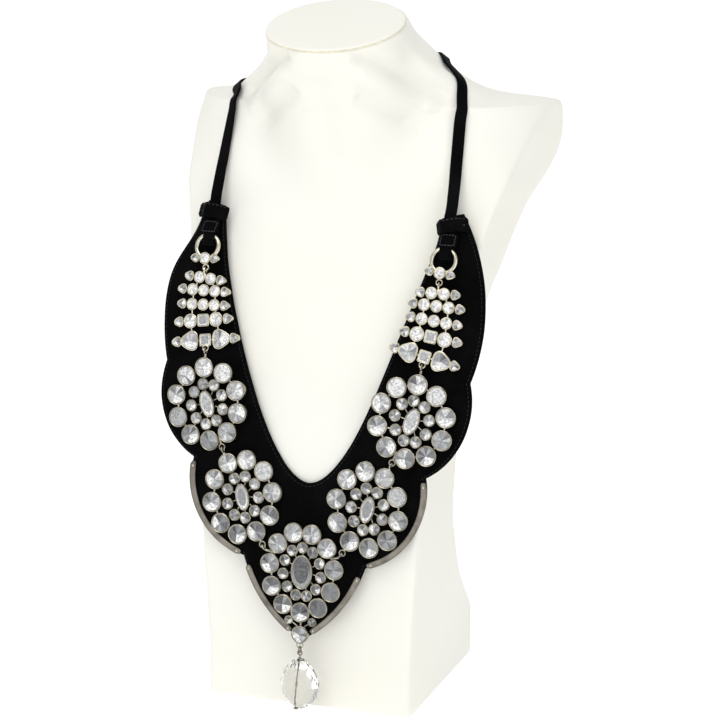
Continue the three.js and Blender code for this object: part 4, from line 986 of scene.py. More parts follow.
def keeper_threads(word, length):
    """Stitches along the keeper's top edge and at its outer end, and the square sewn below it."""
    path, thickness = keeper_path(word), KEEPER["thickness"]
    top = KEEPER["height"] / 2 - 1.2
    parts = [dashes(*keeper_line(word, path[8:-8], top, thickness / 2), length, 2.6, 0.2),
             dashes(*keeper_line(word, path[66:74], -0.6, thickness / 2), 1.2, 2.6, 0.3)]
    frame = on_velvet(ARM_X[word], RING["z"])
    corner = square(turns(60), TAB["half"] - 0.9) * (1, TAB["tall"])
    corner = np.concatenate([corner, corner[:1]])
    lift = tab_lift(corner)[:, None] + 1.12
    points = spot_on(frame, TAB["a"][word] + corner[:, :1], TAB["b"] + corner[:, 1:], lift)
    parts.append(dashes(points, np.tile(frame[3], (len(points), 1)), 1.5, 1.7, 0.24))
    return joined(parts)


# ---- settings and stones ------------------------------------------------------------------------

OUTLINES = {"round": lambda angle, radius: oval(angle, radius, radius), "point": trillion,
            "square": square, "oval": oval, "pear": pear}


def stone(shape, sizes, spot, shade, turn=0.0, height=2.4):
    """A stone: its outline and its sizes, its place on its group's frame (across, up, and turned
    clockwise), how bright its foil is and the height of its setting."""
    return {"shape": shape, "sizes": sizes, "spot": spot, "shade": shade, "turn": turn, "height": height}


def outline_of(gem, count):
    """A stone's outline as the given count of points."""
    return OUTLINES[gem["shape"]](turns(count), *gem["sizes"])


def lip_of(gem, lip):
    """The lip's width on a stone: narrower on small ones."""
    return lip * (0.6 + 0.4 * min(1, gem["sizes"][0] / 5))


def setting(gem, lip):
    """A stone's cup, its outline carried through rings of inset and height: up the wall, over a rounded
    rim, along a fine groove, over the inner lip and down to the floor."""
    height, lip = gem["height"], lip_of(gem, lip)
    outline = outline_of(gem, 36 if gem["sizes"][0] > 3 else 26)
    profile = ((0.35, 0), (0.05, 0.25), (0, height - 0.45), (0.1, height - 0.12), (0.3 * lip, height),
               (0.5 * lip, height - 0.1), (0.58 * lip, height - 0.28), (0.7 * lip, height - 0.06),
               (0.9 * lip, height - 0.08), (lip, height - 0.25), (lip + 0.04, height - 0.8))
    return outward(shell(np.stack([raised(inset(outline, depth), at) for depth, at in profile])))


def facets(rings):
    """A closed skin of triangles over rings, each turned half a step from the one before, and each
    triangle's band, where the fans at the ends count as the first and the last band."""
    rings = np.asarray(rings, float)
    rows, count = rings.shape[:2]
    j = np.arange(count)
    right = (j + 1) % count
    tris, bands = [], []
    for k in range(rows - 1):
        a, b = k * count, (k + 1) * count
        if k % 2 == 0:
            tris += [np.stack([a + j, a + right, b + j], 1), np.stack([b + j, a + right, b + right], 1)]
        else:
            tris += [np.stack([a + j, a + right, b + right], 1), np.stack([b + j, a + j, b + right], 1)]
        bands += [np.full(count, 2 * k + 1), np.full(count, 2 * k + 2)]
    points, ends = fans(rings)
    bands += [np.full(count, 0), np.full(count, 2 * rows)]
    return (points, np.zeros((0, 4), int), np.concatenate([*tris, ends])), np.concatenate(bands)


def cut_stone(gem, lip, depth, rng):
    """A cut stone and each facet's tone, which paints the stone's reflections as light and shade. Its
    girdle hides under the lip. A star cut is wedges that rise to a peak, each of a tone of its own,
    painted lighter on the lower side, with a painted glint (highlight) on a few of the lower ones; a
    table cut has a wide bevel round a flat top, the bevel painted lighter on its lower side."""
    size, height, shade = gem["sizes"][0], gem["height"], gem["shade"]
    star = gem["shape"] in ("round", "point", "pear")
    count = (12 if size > LARGE_STONE else 8) if star else 16
    top, peak = (0.06, 0.5) if star else (0.72, 0.22)
    outline = inset(outline_of(gem, count * 6), GIRDLE * lip_of(gem, lip))
    reach = np.hypot(*outline.T)
    angle = np.unwrap(np.arctan2(outline[:, 1], outline[:, 0]))
    rings = []
    for k, (scale, rise) in enumerate(((0.86, -0.7), (1.0, -0.26), (top, peak * depth * size))):
        at = (np.arange(count) + 0.5 * (k % 2)) * TAU / count
        around = (at - angle[0]) % TAU + angle[0]
        far = np.interp(around, np.append(angle, angle[0] + TAU), np.append(reach, reach[0])) * scale
        rings.append(raised(polar(far, at), height + rise))
    part, bands = facets(rings)
    middle = part[0][part[2]].mean(1)
    look = np.arctan2(middle[:, 1], middle[:, 0]) - math.radians(gem["turn"])
    if star:
        wedge = np.floor(look / TAU * count + 0.5).astype(int) % count
        # painted light: the lower wedges are painted lighter, and a few get a painted glint, a highlight
        low = np.cos(look + np.pi / 2 + rng.normal(0, 0.9))
        painted_glint = smooth_step(0.5, 0.8, low) * (rng.random() > 0.25)
        tone = shade * (0.8 + 0.1 * low) + rng.normal(0, 0.15, count)[wedge]
        tone = mix(tone, 1.0, painted_glint)
        if rng.random() < 0.25 and size > LARGE_STONE:
            tone = np.full(len(look), 0.86 * shade) + rng.normal(0, 0.025, count)[wedge]
    else:
        # painted shade: the bevel is painted darker on its upper side and lighter on its lower side
        tone = np.where(bands == bands.max(), shade - 0.1, shade + 0.2 - 0.14 * np.sin(look))
    return part, np.clip(tone, 0.05, 1)


def bridge(start, end, radius=0.6):
    """A round peg of solder between two places at the foot of the settings."""
    return rod((*start, radius), (*end, radius), (radius, radius))


def join_half(name, upper, anchor):
    """One half of a join: the upper group's eyelet lies flat and the lower group's stands edge on, each
    with a peg to its group."""
    join = JOINS[name]
    frame = on_velvet(join["x"], join["z"])
    angle = math.radians(join["turn"])
    sign = 1 if upper else -1
    ring = wire_ring(LOOP["radius"], WIRE, 24, 8)
    if not upper:
        ring = turned(ring, *EDGE_ON)
    reach, end = sign * LOOP["radius"] / 2, sign * 1.5 * LOOP["radius"]
    ring = placed(ring, frame, reach * math.sin(angle), reach * math.cos(angle), LOOP["lift"], join["turn"])
    start = spot_on(frame, end * math.sin(angle), end * math.cos(angle), LOOP["lift"])
    return [ring, rod(start, anchor, (0.8, 0.8))]


def along_row(turn):
    """The direction of a row that is turned clockwise."""
    return np.array([math.cos(math.radians(turn)), -math.sin(math.radians(turn))])


def ring_bar_group(word):
    """The ring in the strap's fold and the bar of three stones soldered below it."""
    frame = on_velvet(RING_BAR["x"], RING_BAR["z"])
    lift, turn = RING["lift"] - 0.6, RING_BAR[word]
    end = RING_BAR["reach"] * along_row(turn)
    ring = wire_ring(RING["radius"], RING["wire"], 56, 14)
    metal = [placed(ring, on_velvet(RING_X[word], RING["z"]), lift=RING["lift"]),
             placed(bridge(-end, end), frame, lift=lift),
             *join_half("bar_to_ladder", True, spot_on(frame, 0, -2, LOOP["lift"]))]
    middle, side, shade = RING_BAR["middle"], RING_BAR["side"], RING_BAR["shade"]
    stones = [stone("round", (middle,), (0, 0), LADDER_SHADES["round"]),
              stone("point", (side,), end, shade, turn), stone("point", (side,), -end, shade, turn + 180)]
    return [(frame, lift, stones)], metal


def ladder_group(word):
    """Five rows of stones, pegged to each other at both sides; each row is soldered along its middle."""
    rows, metal, groups = [], [], []
    for row in LADDER_ROWS:
        frame, along = on_velvet(row["x"], row["z"]), along_row(row[word])
        stones = []
        for shape, size, reach in row["stones"]:
            large = shape == "point" and size > LARGE_POINT["size"]
            shade = LARGE_POINT["shade"] if large else LADDER_SHADES[shape]
            for side in ((1, -1) if reach > 0 else (1,)):
                turn = row[word] + (0 if side > 0 else 180)
                stones.append(stone(shape, (size,), side * reach * along, shade, turn))
        end = row["stones"][-1][2]
        metal.append(placed(bridge(-end * along, end * along), frame, lift=LADDER_LIFT))
        rows.append((frame, along))
        groups.append((frame, LADDER_LIFT, stones))

    def spot(i, reach):
        frame, along = rows[i]
        return spot_on(frame, reach * along[0], reach * along[1], LADDER_LIFT + 1)

    for i, reach in enumerate(LADDER_PEGS):
        metal += [rod(spot(i, side * reach), spot(i + 1, side * reach), (0.5, 0.5)) for side in (-1, 1)]
    metal += join_half("bar_to_ladder", False, spot(0, 0))
    metal += join_half("ladder_to_upper", True, spot(len(rows) - 1, 0))
    return groups, metal


def ring_places(ring):
    """Places of a rosette's ring of stones, clockwise from its first angle."""
    angle = np.radians(ring["start"] + 360 * np.arange(ring["count"]) / ring["count"])
    return np.stack([ring["a"] * np.sin(angle), ring["b"] * np.cos(angle)], -1)


def rosette_group(name, word):
    """An outer ring of large stones, an inner one of small stones, and an oval in the middle, with the
    halves of its joins; the centre rosette also carries the point's stones and the drop's eye."""
    plan = ROSETTES[name]
    frame, lift, shade = on_velvet(plan["x"], plan["z"]), plan["lift"], plan["shade"]
    start = UPPER_START[word] if name == "upper" else plan["inner"]["start"]
    outer, inner = ring_places(plan["outer"]), ring_places({**plan["inner"], "start": start})
    *sizes, turn, oval_shade = plan["oval"]
    stones = [stone("oval", sizes, (0, 0), oval_shade, turn, 2.6)]
    for i, spot in enumerate(outer):
        # painted shade: an outer stone's foil is darker the lower it sits in the rosette
        tone = np.clip(shade + PAINTED_SHADE_FALL * spot[1], 0.3, 1)
        stones.append(stone("round", (plan["outer"]["size"],), spot, tone, 37 * i, 2.8))
    stones += [stone("round", (plan["inner"]["size"],), spot, shade - 0.1, height=2.0) for spot in inner]
    pegs = [bridge(spot, other) for spot, other in zip(outer, np.roll(outer, -1, 0))]
    pegs += [bridge(spot * 0.4, spot, 0.35) for spot in inner]
    pegs += [bridge(spot, outer[np.argmin(np.linalg.norm(outer - spot, axis=1))]) for spot in inner[::3]]

    def between(i, j):
        a, b = (outer[i] + outer[j]) / 2
        return spot_on(frame, a, b, lift + 1)

    if name == "centre":
        root = (0, POINT["root"])
        stones.append(stone("pear", POINT["sizes"], (0, POINT["z"]), POINT["shade"], height=2.6))
        pegs.append(bridge((0, -23), root))
        for side in (-1, 1):
            spot = (side * POINT["side"][0], POINT["side"][1])
            stones.append(stone("round", (POINT["small"],), spot, shade - 0.1, height=2.0))
            pegs.append(bridge(spot, root, 0.45))
    metal = [placed(peg, frame, lift=lift) for peg in pegs]
    if name == "upper":
        metal += join_half("ladder_to_upper", False, between(0, 0))
        metal += join_half("upper_to_lower", True, between(5, 6))
    elif name == "lower":
        metal += join_half("upper_to_lower", False, between(1, 1))
        metal += join_half("lower_to_centre", True, between(6, 6))
    else:
        join = join_half("lower_to_centre", False, between(2, 3))
        metal += join + [on_side(part, "left") for part in join]
        eye = wire_ring(EYE["radius"], DROP_WIRE, 32, 10)
        metal.append(turned(eye, *FACING, (0, DROP["y"], EYE["z"])))
    return [(frame, lift, stones)], metal


def ornament(name, groups, metal, jewels):
    """The metal and the stones of one ornament: every stone's cup joins the metal, and the stones come
    back as one part with a tone for each facet."""
    rng = np.random.default_rng([jewels.seed, *name.encode()])
    cut, tones = [], []
    for frame, lift, stones in groups:
        for gem in stones:
            where = dict(a=gem["spot"][0], b=gem["spot"][1], lift=lift, turn=gem["turn"])
            metal.append(placed(setting(gem, jewels.lip), frame, **where))
            part, tone = cut_stone(gem, jewels.lip, jewels.depth, rng)
            cut.append(placed(part, frame, **where))
            tones.append(tone)
    return joined(metal), joined(cut), np.concatenate(tones)


# ---- edge trims ---------------------------------------------------------------------------------

def trim_part(lobe, start, end):
    """A flat strip along a lobe of the hem with a fine bead on its outer edge, and a domed rivet near
    each end."""
    steps, thickness = TRIM["steps"], TRIM["thickness"]
    t = np.linspace(start, end, steps)
    spots = bowed_arc(lobe, t)
    ahead = bowed_arc(lobe, t + 0.001) - spots
    inward = unit(np.stack([-ahead[:, 1], ahead[:, 0]], -1))
    frames = [on_velvet(*spot) for spot in spots + inward * TRIM["width"] * 0.4]
    base, faces = np.array([f[0] for f in frames]), np.array([f[3] for f in frames])
    middle = base + faces * (TRIM["lift"] + thickness / 2)
    ends = 1 - 0.35 * (2 * np.abs(np.linspace(0, 1, steps) - 0.5)) ** 30
    strip = ribbon(middle, faces, band_section(TRIM["width"], thickness, 5, 5), ends)
    side = unit(np.cross(unit(np.gradient(middle, axis=0)), faces))
    line = middle + side * (TRIM["width"] / 2 - 0.4) + faces * (thickness / 2 - 0.05)
    bead = ribbon(line[1:-1], faces[1:-1], polar(TRIM["bead"], turns(8)))
    shares, radii = np.array(RIVET).T
    rivets = []
    for i, j in ((0, 2), (-1, -3)):
        spot = mix(middle[i], middle[j], 0.9) + faces[i] * (thickness / 2 - 0.1)
        rivets.append(rod(spot, spot + faces[i] * 0.75, TRIM["rivet"] * radii, shares, 16))
    return joined([strip, bead]), joined(rivets)


# ---- the drop -----------------------------------------------------------------------------------

HANG = DROP_WIRE + LINK_GAP
RING_Z = EYE["z"] - EYE["radius"] + HANG - DROP_RING["radius"]
PIN_Z = RING_Z - DROP_RING["radius"] + HANG - PIN["radius"]


def leaned(part):
    """The part turned about the drop's top so that its foot goes to the left, and put at the drop."""
    c, s = math.cos(math.radians(DROP["lean"])), math.sin(math.radians(DROP["lean"]))
    x, y, z = part[0].T
    z = z - DROP["top"]
    return np.stack([x * c + z * s, y + DROP["y"], z * c - x * s + DROP["top"]], -1), part[1], part[2]


def drop_part():
    """The cut crystal: at each share of its height its girth is sin(pi s^1.06)^0.56 of the widest, and
    its facets are triangles between ovals turned half a step from each other."""
    rings = []
    for k, share in enumerate(DROP_SHARES):
        girth = np.sin(np.pi * (1 - share) ** DROP_POWERS[0]) ** DROP_POWERS[1]
        ring = oval(turns(14, 0.5 * (k % 2)), DROP["half_width"] * girth, DROP["half_depth"] * girth)
        ring = np.insert(ring, 2, mix(DROP["bottom"], DROP["top"], share), axis=1)
        rings.append(ring + (0, DROP["y"], 0))
    return facets(rings)[0]


def pin_part():
    """The pin: a ring of wire, a short neck, and a stem through the crystal that ends in a head."""
    eye = turned(wire_ring(PIN["radius"], DROP_WIRE, 28, 10), *FACING, (0, DROP["y"], PIN_Z))
    wire, low = DROP_WIRE / 2, DROP["bottom"] - 0.2
    neck = rod((0, DROP["y"], DROP["top"] - 0.8), (0, DROP["y"], PIN_Z - PIN["radius"]),
               (wire, wire, wire * 1.25, wire), (0, 0.5, 0.7, 1), 12)
    stem = rod((0, 0, low), (0, 0, DROP["top"]), (wire, wire), sides=12)
    head = rod((0, 0, low - 0.5), (0, 0, low + 0.3), PIN["head"] * np.array((0.55, 0.95, 1, 0.6)),
               (0, 0.3, 0.6, 1), 18)
    return joined([eye, neck, leaned(stem), leaned(head)])


def drop_ring_part():
    """The jump ring, edge on between the rosette's eye and the pin's."""
    return turned(wire_ring(DROP_RING["radius"], DROP_WIRE, 32, 10), *EDGE_ON, (0, DROP["y"], RING_Z))


# ---- materials ----------------------------------------------------------------------------------

def set_inputs(tree, item, inputs):
    """A node's inputs linked to sockets or set to values."""
    for key, value in dict(inputs).items():
        if isinstance(value, bpy.types.NodeSocket):
            tree.links.new(value, item.inputs[key])
        else:
            item.inputs[key].default_value = value


def node(tree, kind, inputs=(), **values):
    """A new node with its properties and then its inputs set."""
    item = tree.nodes.new(kind)
    for key, value in values.items():
        setattr(item, key, value)
    set_inputs(tree, item, inputs)
    return item


def maths(tree, operation, *values):
    """The result of an operation on sockets and values."""
    return node(tree, "ShaderNodeMath", enumerate(values), operation=operation).outputs[0]


def new_group(name, inputs, outputs):
    """An empty shader group: inputs are defaults by name, where a tuple is a colour, and outputs are
    kinds of socket by name."""
    tree = bpy.data.node_groups.new(name, "ShaderNodeTree")
    for label, default in inputs.items():
        kind = "NodeSocketColor" if isinstance(default, tuple) else "NodeSocketFloat"
        tree.interface.new_socket(label, in_out="INPUT", socket_type=kind).default_value = default
    for label, kind in outputs.items():
        tree.interface.new_socket(label, in_out="OUTPUT", socket_type=kind)
    return tree, tree.nodes.new("NodeGroupInput").outputs, tree.nodes.new("NodeGroupOutput")


def grain_group():
    """Grain: two sizes of noise that give a height and the normal that it bends."""
    tree, given, out = new_group("Grain", {"Scale": 400.0, "Coarse": 0.3, "Strength": 0.1, "Depth": 0.0003},
                                 {"Height": "NodeSocketFloat", "Normal": "NodeSocketVector"})
    place = tree.nodes.new("ShaderNodeTexCoord").outputs["Object"]
    fine = node(tree, "ShaderNodeTexNoise", {"Vector": place, "Scale": given["Scale"], "Detail": 3.0})
    wide = maths(tree, "MULTIPLY", given["Scale"], 0.12)
    slow = node(tree, "ShaderNodeTexNoise", {"Vector": place, "Scale": wide, "Detail": 2.0})
    coarse = maths(tree, "MULTIPLY", slow.outputs["Fac"], given["Coarse"])
    height = maths(tree, "ADD", fine.outputs["Fac"], coarse)
    bump = node(tree, "ShaderNodeBump", {"Height": height, "Strength": given["Strength"],
                                         "Distance": given["Depth"]})
    set_inputs(tree, out, {"Height": height, "Normal": bump.outputs["Normal"]})
    return tree


def wear_group():
    """Wear: a colour that drifts towards another in soft patches, and the mask of those patches."""
    tree, given, out = new_group(
        "Wear", {"Colour": (1, 1, 1, 1), "Worn": (0.5, 0.5, 0.5, 1), "Scale": 60.0, "Low": 0.45,
                 "High": 0.75, "Amount": 0.5}, {"Colour": "NodeSocketColor", "Mask": "NodeSocketFloat"})
    place = tree.nodes.new("ShaderNodeTexCoord").outputs["Object"]
    noise = node(tree, "ShaderNodeTexNoise", {"Vector": place, "Scale": given["Scale"], "Detail": 4.0})
    span = node(tree, "ShaderNodeMapRange", {"Value": noise.outputs["Fac"], "From Min": given["Low"],
                                             "From Max": given["High"]})
    mask = maths(tree, "MULTIPLY", span.outputs[0], given["Amount"])
    blend = node(tree, "ShaderNodeMix", {"Factor": mask, 6: given["Colour"], 7: given["Worn"]},
                 data_type="RGBA")
    set_inputs(tree, out, {"Colour": blend.outputs[2], "Mask": mask})
    return tree


def shared(name, make):
    """The shared group of that name, made the first time it is asked for."""
    return bpy.data.node_groups.get(name) or make()


def new_material(name):
    """A material with its tree and its shader."""
    material = bpy.data.materials.new(name)
    material.use_nodes = True
    return material, material.node_tree, material.node_tree.nodes["Principled BSDF"]


def shaded(shade, share):
    """A colour made darker or brighter."""
    return tuple(min(1, share * v) for v in shade)


def finish(name, shade, worn, grain, wear, rough, **constants):
    """A material of a colour that wears, with a grained surface. Its roughness follows the grain's height
    or the wear's mask, times a share and on top of a base, and constants are set on the shader."""
    material, tree, shader = new_material(name)
    tone = node(tree, "ShaderNodeGroup", {"Colour": (*shade, 1), "Worn": (*worn, 1), **wear},
                node_tree=shared("Wear", wear_group))
    surface = node(tree, "ShaderNodeGroup", grain, node_tree=shared("Grain", grain_group))
    by, share, base = rough
    source = (surface if by == "Height" else tone).outputs[by]
    set_inputs(tree, shader, {"Base Color": tone.outputs["Colour"], "Normal": surface.outputs["Normal"],
                              "Roughness": maths(tree, "MULTIPLY_ADD", source, share, base)})
    set_inputs(tree, shader, {key.replace("_", " "): value for key, value in constants.items()})
    return material


def leatherette(skin, grain):
    """Cream leatherette: soft satin with fine grain and the faintest warm patches."""
    warm = (skin[0], skin[1] * 0.985, skin[2] * 0.93)
    return finish("leatherette", skin, warm,
                  {"Scale": 900.0, "Coarse": 0.8, "Strength": grain, "Depth": 0.0004},
                  {"Scale": 9.0, "Low": 0.4, "High": 0.8, "Amount": 0.7}, ("Height", 0.16, 0.42),
                  Specular_IOR_Level=0.35)


def velvet(name, pile, sheen):
    """Black velvet: a dark pile with a soft sheen at the edges, lighter where the pile is brushed."""
    brushed = tuple(min(1, v * 2.6 + 0.002) for v in pile)
    return finish(name, pile, brushed, {"Scale": 1500.0, "Coarse": 1.6, "Strength": 0.5, "Depth": 0.0005},
                  {"Scale": 45.0, "Low": 0.42, "High": 0.72, "Amount": 0.8}, ("Height", 0.1, 0.78),
                  Sheen_Weight=sheen, Sheen_Roughness=0.35, Sheen_Tint=(0.55, 0.56, 0.62, 1),
                  Specular_IOR_Level=0.06)


def metal(name, shade, worn, rough, grain, amount, scale):
    """Plated metal: polished or brushed, dulled in patches."""
    return finish(name, shade, worn, {"Scale": 700.0, "Coarse": 0.6, "Strength": grain, "Depth": 0.0002},
                  {"Scale": scale, "Low": 0.4, "High": 0.7, "Amount": amount}, ("Mask", 0.22, rough),
                  Metallic=1.0)


def plain_thread(name, shade):
    """Sewing thread: matt, twisted, a little uneven in colour."""
    return finish(name, shade, shaded(shade, 0.6),
                  {"Scale": 2500.0, "Coarse": 0.5, "Strength": 0.6, "Depth": 0.0002},
                  {"Scale": 500.0, "Low": 0.4, "High": 0.7, "Amount": 0.6}, ("Height", 0.1, 0.6),
                  Specular_IOR_Level=0.25)


def foil_stone(foil):
    """A foil-backed stone: each facet's tone runs from smoky blue-grey through grey to bright foil,
    slightly mottled, under a clear polished face. The facet tones are painted reflections: painted
    light and shade."""
    material, tree, shader = new_material("foil_stone")
    tone = node(tree, "ShaderNodeAttribute", attribute_name="tone")
    ramp = node(tree, "ShaderNodeValToRGB", {"Fac": tone.outputs["Fac"]})
    stops = ((0.0, (0.025, 0.022, 0.03)), (0.3, (0.1, 0.102, 0.115)), (0.55, (0.36, 0.37, 0.385)),
             (0.8, (0.72, 0.725, 0.73)), (1.0, foil))
    for i, (place, shade) in enumerate(stops):
        stop = ramp.color_ramp.elements[i] if i < 2 else ramp.color_ramp.elements.new(place)
        stop.position, stop.color = place, (*shade, 1)
    mottle = node(tree, "ShaderNodeGroup", {"Colour": ramp.outputs["Color"], "Worn": (0.17, 0.175, 0.165, 1),
                                            "Scale": 800.0, "Low": 0.4, "High": 0.66, "Amount": 0.68},
                  node_tree=shared("Wear", wear_group))
    set_inputs(tree, shader, {"Base Color": mottle.outputs["Colour"],
                              "Roughness": maths(tree, "MULTIPLY_ADD", mottle.outputs["Mask"], 0.15, 0.07),
                              "Coat Weight": 0.35, "Coat Roughness": 0.02})
    return material


def clear_crystal():
    """Clear cut crystal, with the faintest smears."""
    material, tree, shader = new_material("clear_crystal")
    smear = node(tree, "ShaderNodeGroup", {"Scale": 130.0}, node_tree=shared("Wear", wear_group))
    set_inputs(tree, shader, {"Base Color": (0.985, 0.98, 0.965, 1), "Transmission Weight": 1.0, "IOR": 1.5,
                              "Roughness": maths(tree, "MULTIPLY_ADD", smear.outputs["Mask"], 0.04, 0.01)})
    return material


# ---- the studio, in metres ----------------------------------------------------------------------

AIM = (0.02545, -0.04008, 0.2084)
LIT = (0, 0, 0.2)
LIGHTS = {"overhead": (-0.2, -0.6, 1.3), "left": (-0.8, -1.5, 0.6), "right": (1.0, -1.3, 0.7)}
LIGHT_SIZE = 0.9
FLOOR = {"half_width": 4.0, "front": -2.5, "back": 1.6, "sweep": 1.2, "top": 4.0}


def place_camera(scene, studio):
    """The camera, looking at the aim."""
    a, e = studio.azimuth, studio.elevation
    back = Vector((math.sin(a) * math.cos(e), -math.cos(a) * math.cos(e), math.sin(e)))
    scene.camera = put("view", bpy.data.cameras.new("view"))
    scene.camera.data.lens = studio.lens
    scene.camera.location = Vector(AIM) + back * studio.distance
    scene.camera.rotation_euler = back.to_track_quat("Z", "Y").to_euler()
    scene.view_settings.view_transform = "Standard"


def lay_floor(studio, turn):
    """The floor, square to the camera: it runs back level and then sweeps up in a quarter circle."""
    angle, back, sweep = np.linspace(0.1, np.pi / 2, 14), FLOOR["back"], FLOOR["sweep"]
    run = np.concatenate([[FLOOR["front"], back], back + sweep * np.sin(angle), [back + sweep]])
    rise = np.concatenate([[0, 0], sweep - sweep * np.cos(angle), [FLOOR["top"]]])
    across = np.tile([-FLOOR["half_width"], FLOOR["half_width"]], len(run))
    points = np.stack([across, np.repeat(run, 2), np.repeat(rise, 2)], -1) @ np.array(turn).T
    faces = np.arange(len(run) - 1)[:, None] * 2 + np.array([0, 1, 3, 2])
    paper, tree, shader = new_material("paper")
    set_inputs(tree, shader, {"Base Color": (*studio.floor, 1), "Roughness": 0.8, "Specular IOR Level": 0.1,
                              "Emission Color": (1, 1, 1, 1), "Emission Strength": studio.glow})
    floor = put("floor", smooth_mesh("floor", points, faces.tolist(), paper))


def add_lights(scene, studio, turn):
    """Even light all round, and three large square lights that look at the bust's middle."""
    scene.world = bpy.data.worlds.new("daylight")
    scene.world.use_nodes = True
    tree = scene.world.node_tree
    set_inputs(tree, tree.nodes["Background"], {"Color": (1, 1, 1, 1), "Strength": studio.daylight})
    for name, place in LIGHTS.items():
        light = put(name, bpy.data.lights.new(name, "AREA"))
        light.data.size = LIGHT_SIZE
        light.data.energy = studio.overhead if name == "overhead" else studio.fill
        light.location = turn @ Vector(place)
        light.rotation_euler = (light.location - Vector(LIT)).to_track_quat("Z", "Y").to_euler()


# ---- operators ----------------------------------------------------------------------------------

class NECKLACE_OT_stage(bpy.types.Operator):
    """Set up the camera, the pale floor and the soft lights"""

    bl_idname = "necklace.stage"
    bl_label = "Stage"

    def execute(self, context):
        studio = context.scene.necklace_studio
        turn = Matrix.Rotation(studio.azimuth, 3, "Z")
        place_camera(context.scene, studio)
        lay_floor(studio, turn)
        add_lights(context.scene, studio, turn)
        return {"FINISHED"}


class NECKLACE_OT_bust(bpy.types.Operator):
    """Make the leatherette bust, its cap and the seam between them"""

    bl_idname = "necklace.bust"
    bl_label = "Bust"

    def execute(self, context):
        bust = context.scene.necklace_bust
        skin = leatherette(bust.skin, bust.grain)
        make_piece("bust_skin", bust_part(bust.fold), skin, "display", ("neck_bust",))
        make_piece("bust_cap", cap_part(), skin, "display", ("neck_cap",))
        edge = plain_thread("seam_edge", bust.seam)
        make_piece("cap_seam", seam_part(), edge, "display")
        return {"FINISHED"}


class NECKLACE_OT_bib(bpy.types.Operator):
    """Make the velvet bib and the stitches along its edges"""

    bl_idname = "necklace.bib"
    bl_label = "Velvet bib"

    def execute(self, context):
        cloth = context.scene.necklace_velvet
        part, area = bib_part(cloth.margin)
        pile = velvet("velvet", cloth.pile, 0.025)
        bib = make_piece("bib_velvet", part, pile, "display", ("velvet_bib",))
        thread = plain_thread("black_thread", cloth.thread)
        part = bib_stitches(cloth.stitch, cloth.pitch, cloth.margin)
        stitches = make_piece("bib_stitches", part, thread, "display")
        size = (float(np.ptp(bib_face(bib_shares(), np.array([[-0.01]]))[0][..., 0])) * MM,
                (ARM_TOP["z"] - TIP_Z) * MM)
        return {"FINISHED"}


class NECKLACE_OT_strap(bpy.types.Operator):
    """Make the velvet strap over the bust, its keepers and their threads"""

    bl_idname = "necklace.strap"
    bl_label = "Strap"

    def execute(self, context):
        cloth = context.scene.necklace_velvet
        pile = velvet("ribbon", cloth.pile, 0.05)
        strap = strap_part(bust_part(context.scene.necklace_bust.fold))
        make_piece("velvet_strap", strap, pile, "display", ("neck_strap",))
        thread = plain_thread("grey_thread", shaded(cloth.thread, 4))
        for word in ("right", "left"):
            keeper, tab = on_side(keeper_part(word), word), on_side(tab_part(word), word)
            threads = on_side(keeper_threads(word, cloth.stitch), word)
            make_piece(f"{word}_keeper_band", keeper, pile, "display", (f"{word}_keeper",))
            make_piece(f"{word}_sewn_tab", tab, pile, "display")
            make_piece(f"{word}_keeper_threads", threads, thread, "display")
        return {"FINISHED"}


class NECKLACE_OT_ornaments(bpy.types.Operator):
    """Make the jewelled ornaments: their silver settings and their stones"""

    bl_idname = "necklace.ornaments"
    bl_label = "Ornaments"

    def execute(self, context):
        jewels = context.scene.necklace_jewels
        plated = jewels.silver
        silver = metal("polished_silver", plated, shaded(plated, 0.4), 0.2, 0.04, 0.7, 160.0)
        # A lighter copy of the plated silver for the ring bar and the ladder: painted brightness that stands
        # in for their stronger reflections.
        lit_silver = metal("lit_silver_copy", shaded(plated, 1.5), shaded(plated, 0.9), 0.16, 0.04, 0.45, 160.0)
        foil = foil_stone(jewels.foil)
        for word in ("right", "left"):
            self.make(f"{word}_ring_bar", ring_bar_group(word), word, lit_silver, foil, jewels)
            self.make(f"{word}_ladder", ladder_group(word), word, lit_silver, foil, jewels)
            for name in ("upper", "lower"):
                self.make(f"{word}_{name}_rosette", rosette_group(name, word), word, silver, foil, jewels)
        self.make("centre_rosette", rosette_group("centre", "right"), "right", silver, foil, jewels)
        return {"FINISHED"}

    def make(self, name, group, word, plating, foil, jewels):
        """Make one ornament's two pieces: its metal and its stones."""
        settings, cut, tones = ornament(name, *group, jewels)
        make_piece(f"{name}_settings", on_side(settings, word), plating, "display", (name,),
                   sharp=40)
        make_piece(f"{name}_stones", on_side(cut, word), foil, "display", sharp=3, tones=tones)


class NECKLACE_OT_trims(bpy.types.Operator):
    """Make the darkened silver trims along the hem and their rivets"""

    bl_idname = "necklace.trims"
    bl_label = "Edge trims"

    def execute(self, context):
        jewels = context.scene.necklace_jewels
        antique = metal("antique_silver", jewels.antique, shaded(jewels.antique, 0.35), 0.3, 0.15, 0.7,
                        120.0)
        bright = metal("rivet_silver", jewels.silver, shaded(jewels.silver, 0.5), 0.22, 0.03, 0.4, 200.0)
        for name, lobe, start, end in (("side", 1, 0.03, 0.97), ("point", 0, 0.14, 0.9)):
            strip, rivets = trim_part(HEM_LOBES[lobe], start, end)
            for word in ("right", "left"):
                make_piece(f"{word}_{name}_strip", on_side(strip, word), antique, "display",
                           (f"{word}_{name}_trim",), sharp=50)
                make_piece(f"{word}_{name}_rivets", on_side(rivets, word), bright, "display")
        return {"FINISHED"}


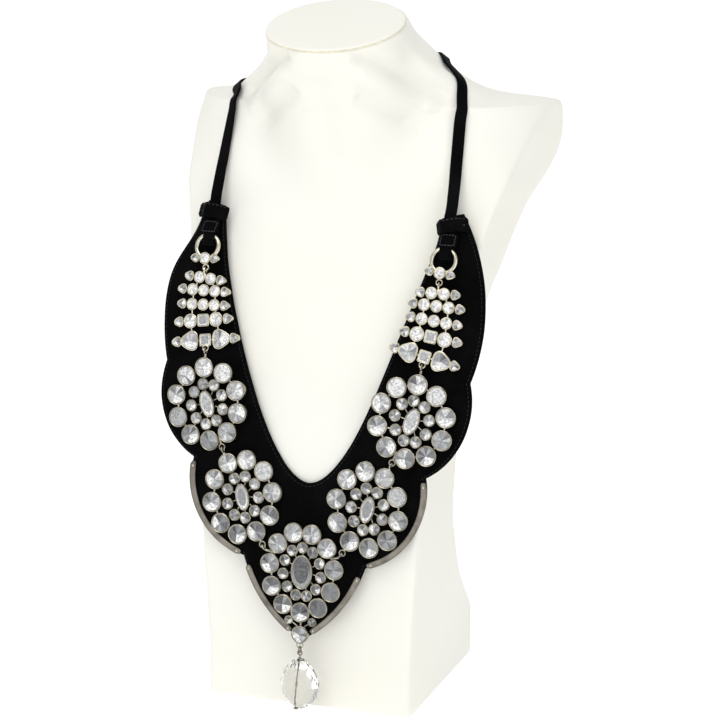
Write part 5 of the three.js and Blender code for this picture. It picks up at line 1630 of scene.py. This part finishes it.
class NECKLACE_OT_drop(bpy.types.Operator):
    """Make the crystal drop, its pin and its jump ring"""

    bl_idname = "necklace.drop"
    bl_label = "Crystal drop"

    def execute(self, context):
        jewels = context.scene.necklace_jewels
        bronze = metal("dark_bronze", jewels.antique, (0.16, 0.11, 0.07), 0.28, 0.05, 0.8, 300.0)
        make_piece("jump_ring_wire", drop_ring_part(), bronze, "jump_ring", ("drop_ring",))
        make_piece("crystal_pin", pin_part(), bronze, "drop", ("drop_pin",), sharp=50)
        make_piece("crystal_teardrop", drop_part(), clear_crystal(), "drop", ("crystal_drop",),
                   sharp=3)
        return {"FINISHED"}


class NECKLACE_PT_panel(bpy.types.Panel):
    """The necklace's settings and the operators that make it"""

    bl_idname = "NECKLACE_PT_panel"
    bl_label = "Velvet bib necklace"
    bl_space_type = "VIEW_3D"
    bl_region_type = "UI"
    bl_category = "Necklace"

    def draw(self, context):
        scene = context.scene
        for settings, operators in LAYOUT:
            box = self.layout.box()
            group = getattr(scene, settings)
            for name in group.__annotations__:
                box.prop(group, name)
            for operator in operators:
                box.operator(operator.bl_idname)


SETTINGS = {"necklace_studio": StudioSettings, "necklace_bust": BustSettings,
            "necklace_velvet": VelvetSettings, "necklace_jewels": JewelSettings}
LAYOUT = (
    ("necklace_studio", (NECKLACE_OT_stage,)),
    ("necklace_bust", (NECKLACE_OT_bust,)),
    ("necklace_velvet", (NECKLACE_OT_bib, NECKLACE_OT_strap)),
    ("necklace_jewels", (NECKLACE_OT_ornaments, NECKLACE_OT_trims, NECKLACE_OT_drop)),
)
CLASSES = (*SETTINGS.values(), *(operator for _, group in LAYOUT for operator in group), NECKLACE_PT_panel)


def register():
    for cls in CLASSES:
        bpy.utils.register_class(cls)
    for name, cls in SETTINGS.items():
        setattr(bpy.types.Scene, name, PointerProperty(type=cls))


def unregister():
    for name in SETTINGS:
        delattr(bpy.types.Scene, name)
    for cls in reversed(CLASSES):
        bpy.utils.unregister_class(cls)


def main():
    register()
    bpy.ops.necklace.stage()
    bpy.ops.necklace.bust()
    bpy.ops.necklace.bib()
    bpy.ops.necklace.strap()
    bpy.ops.necklace.ornaments()
    bpy.ops.necklace.trims()
    bpy.ops.necklace.drop()


if __name__ == "__main__":
    main()
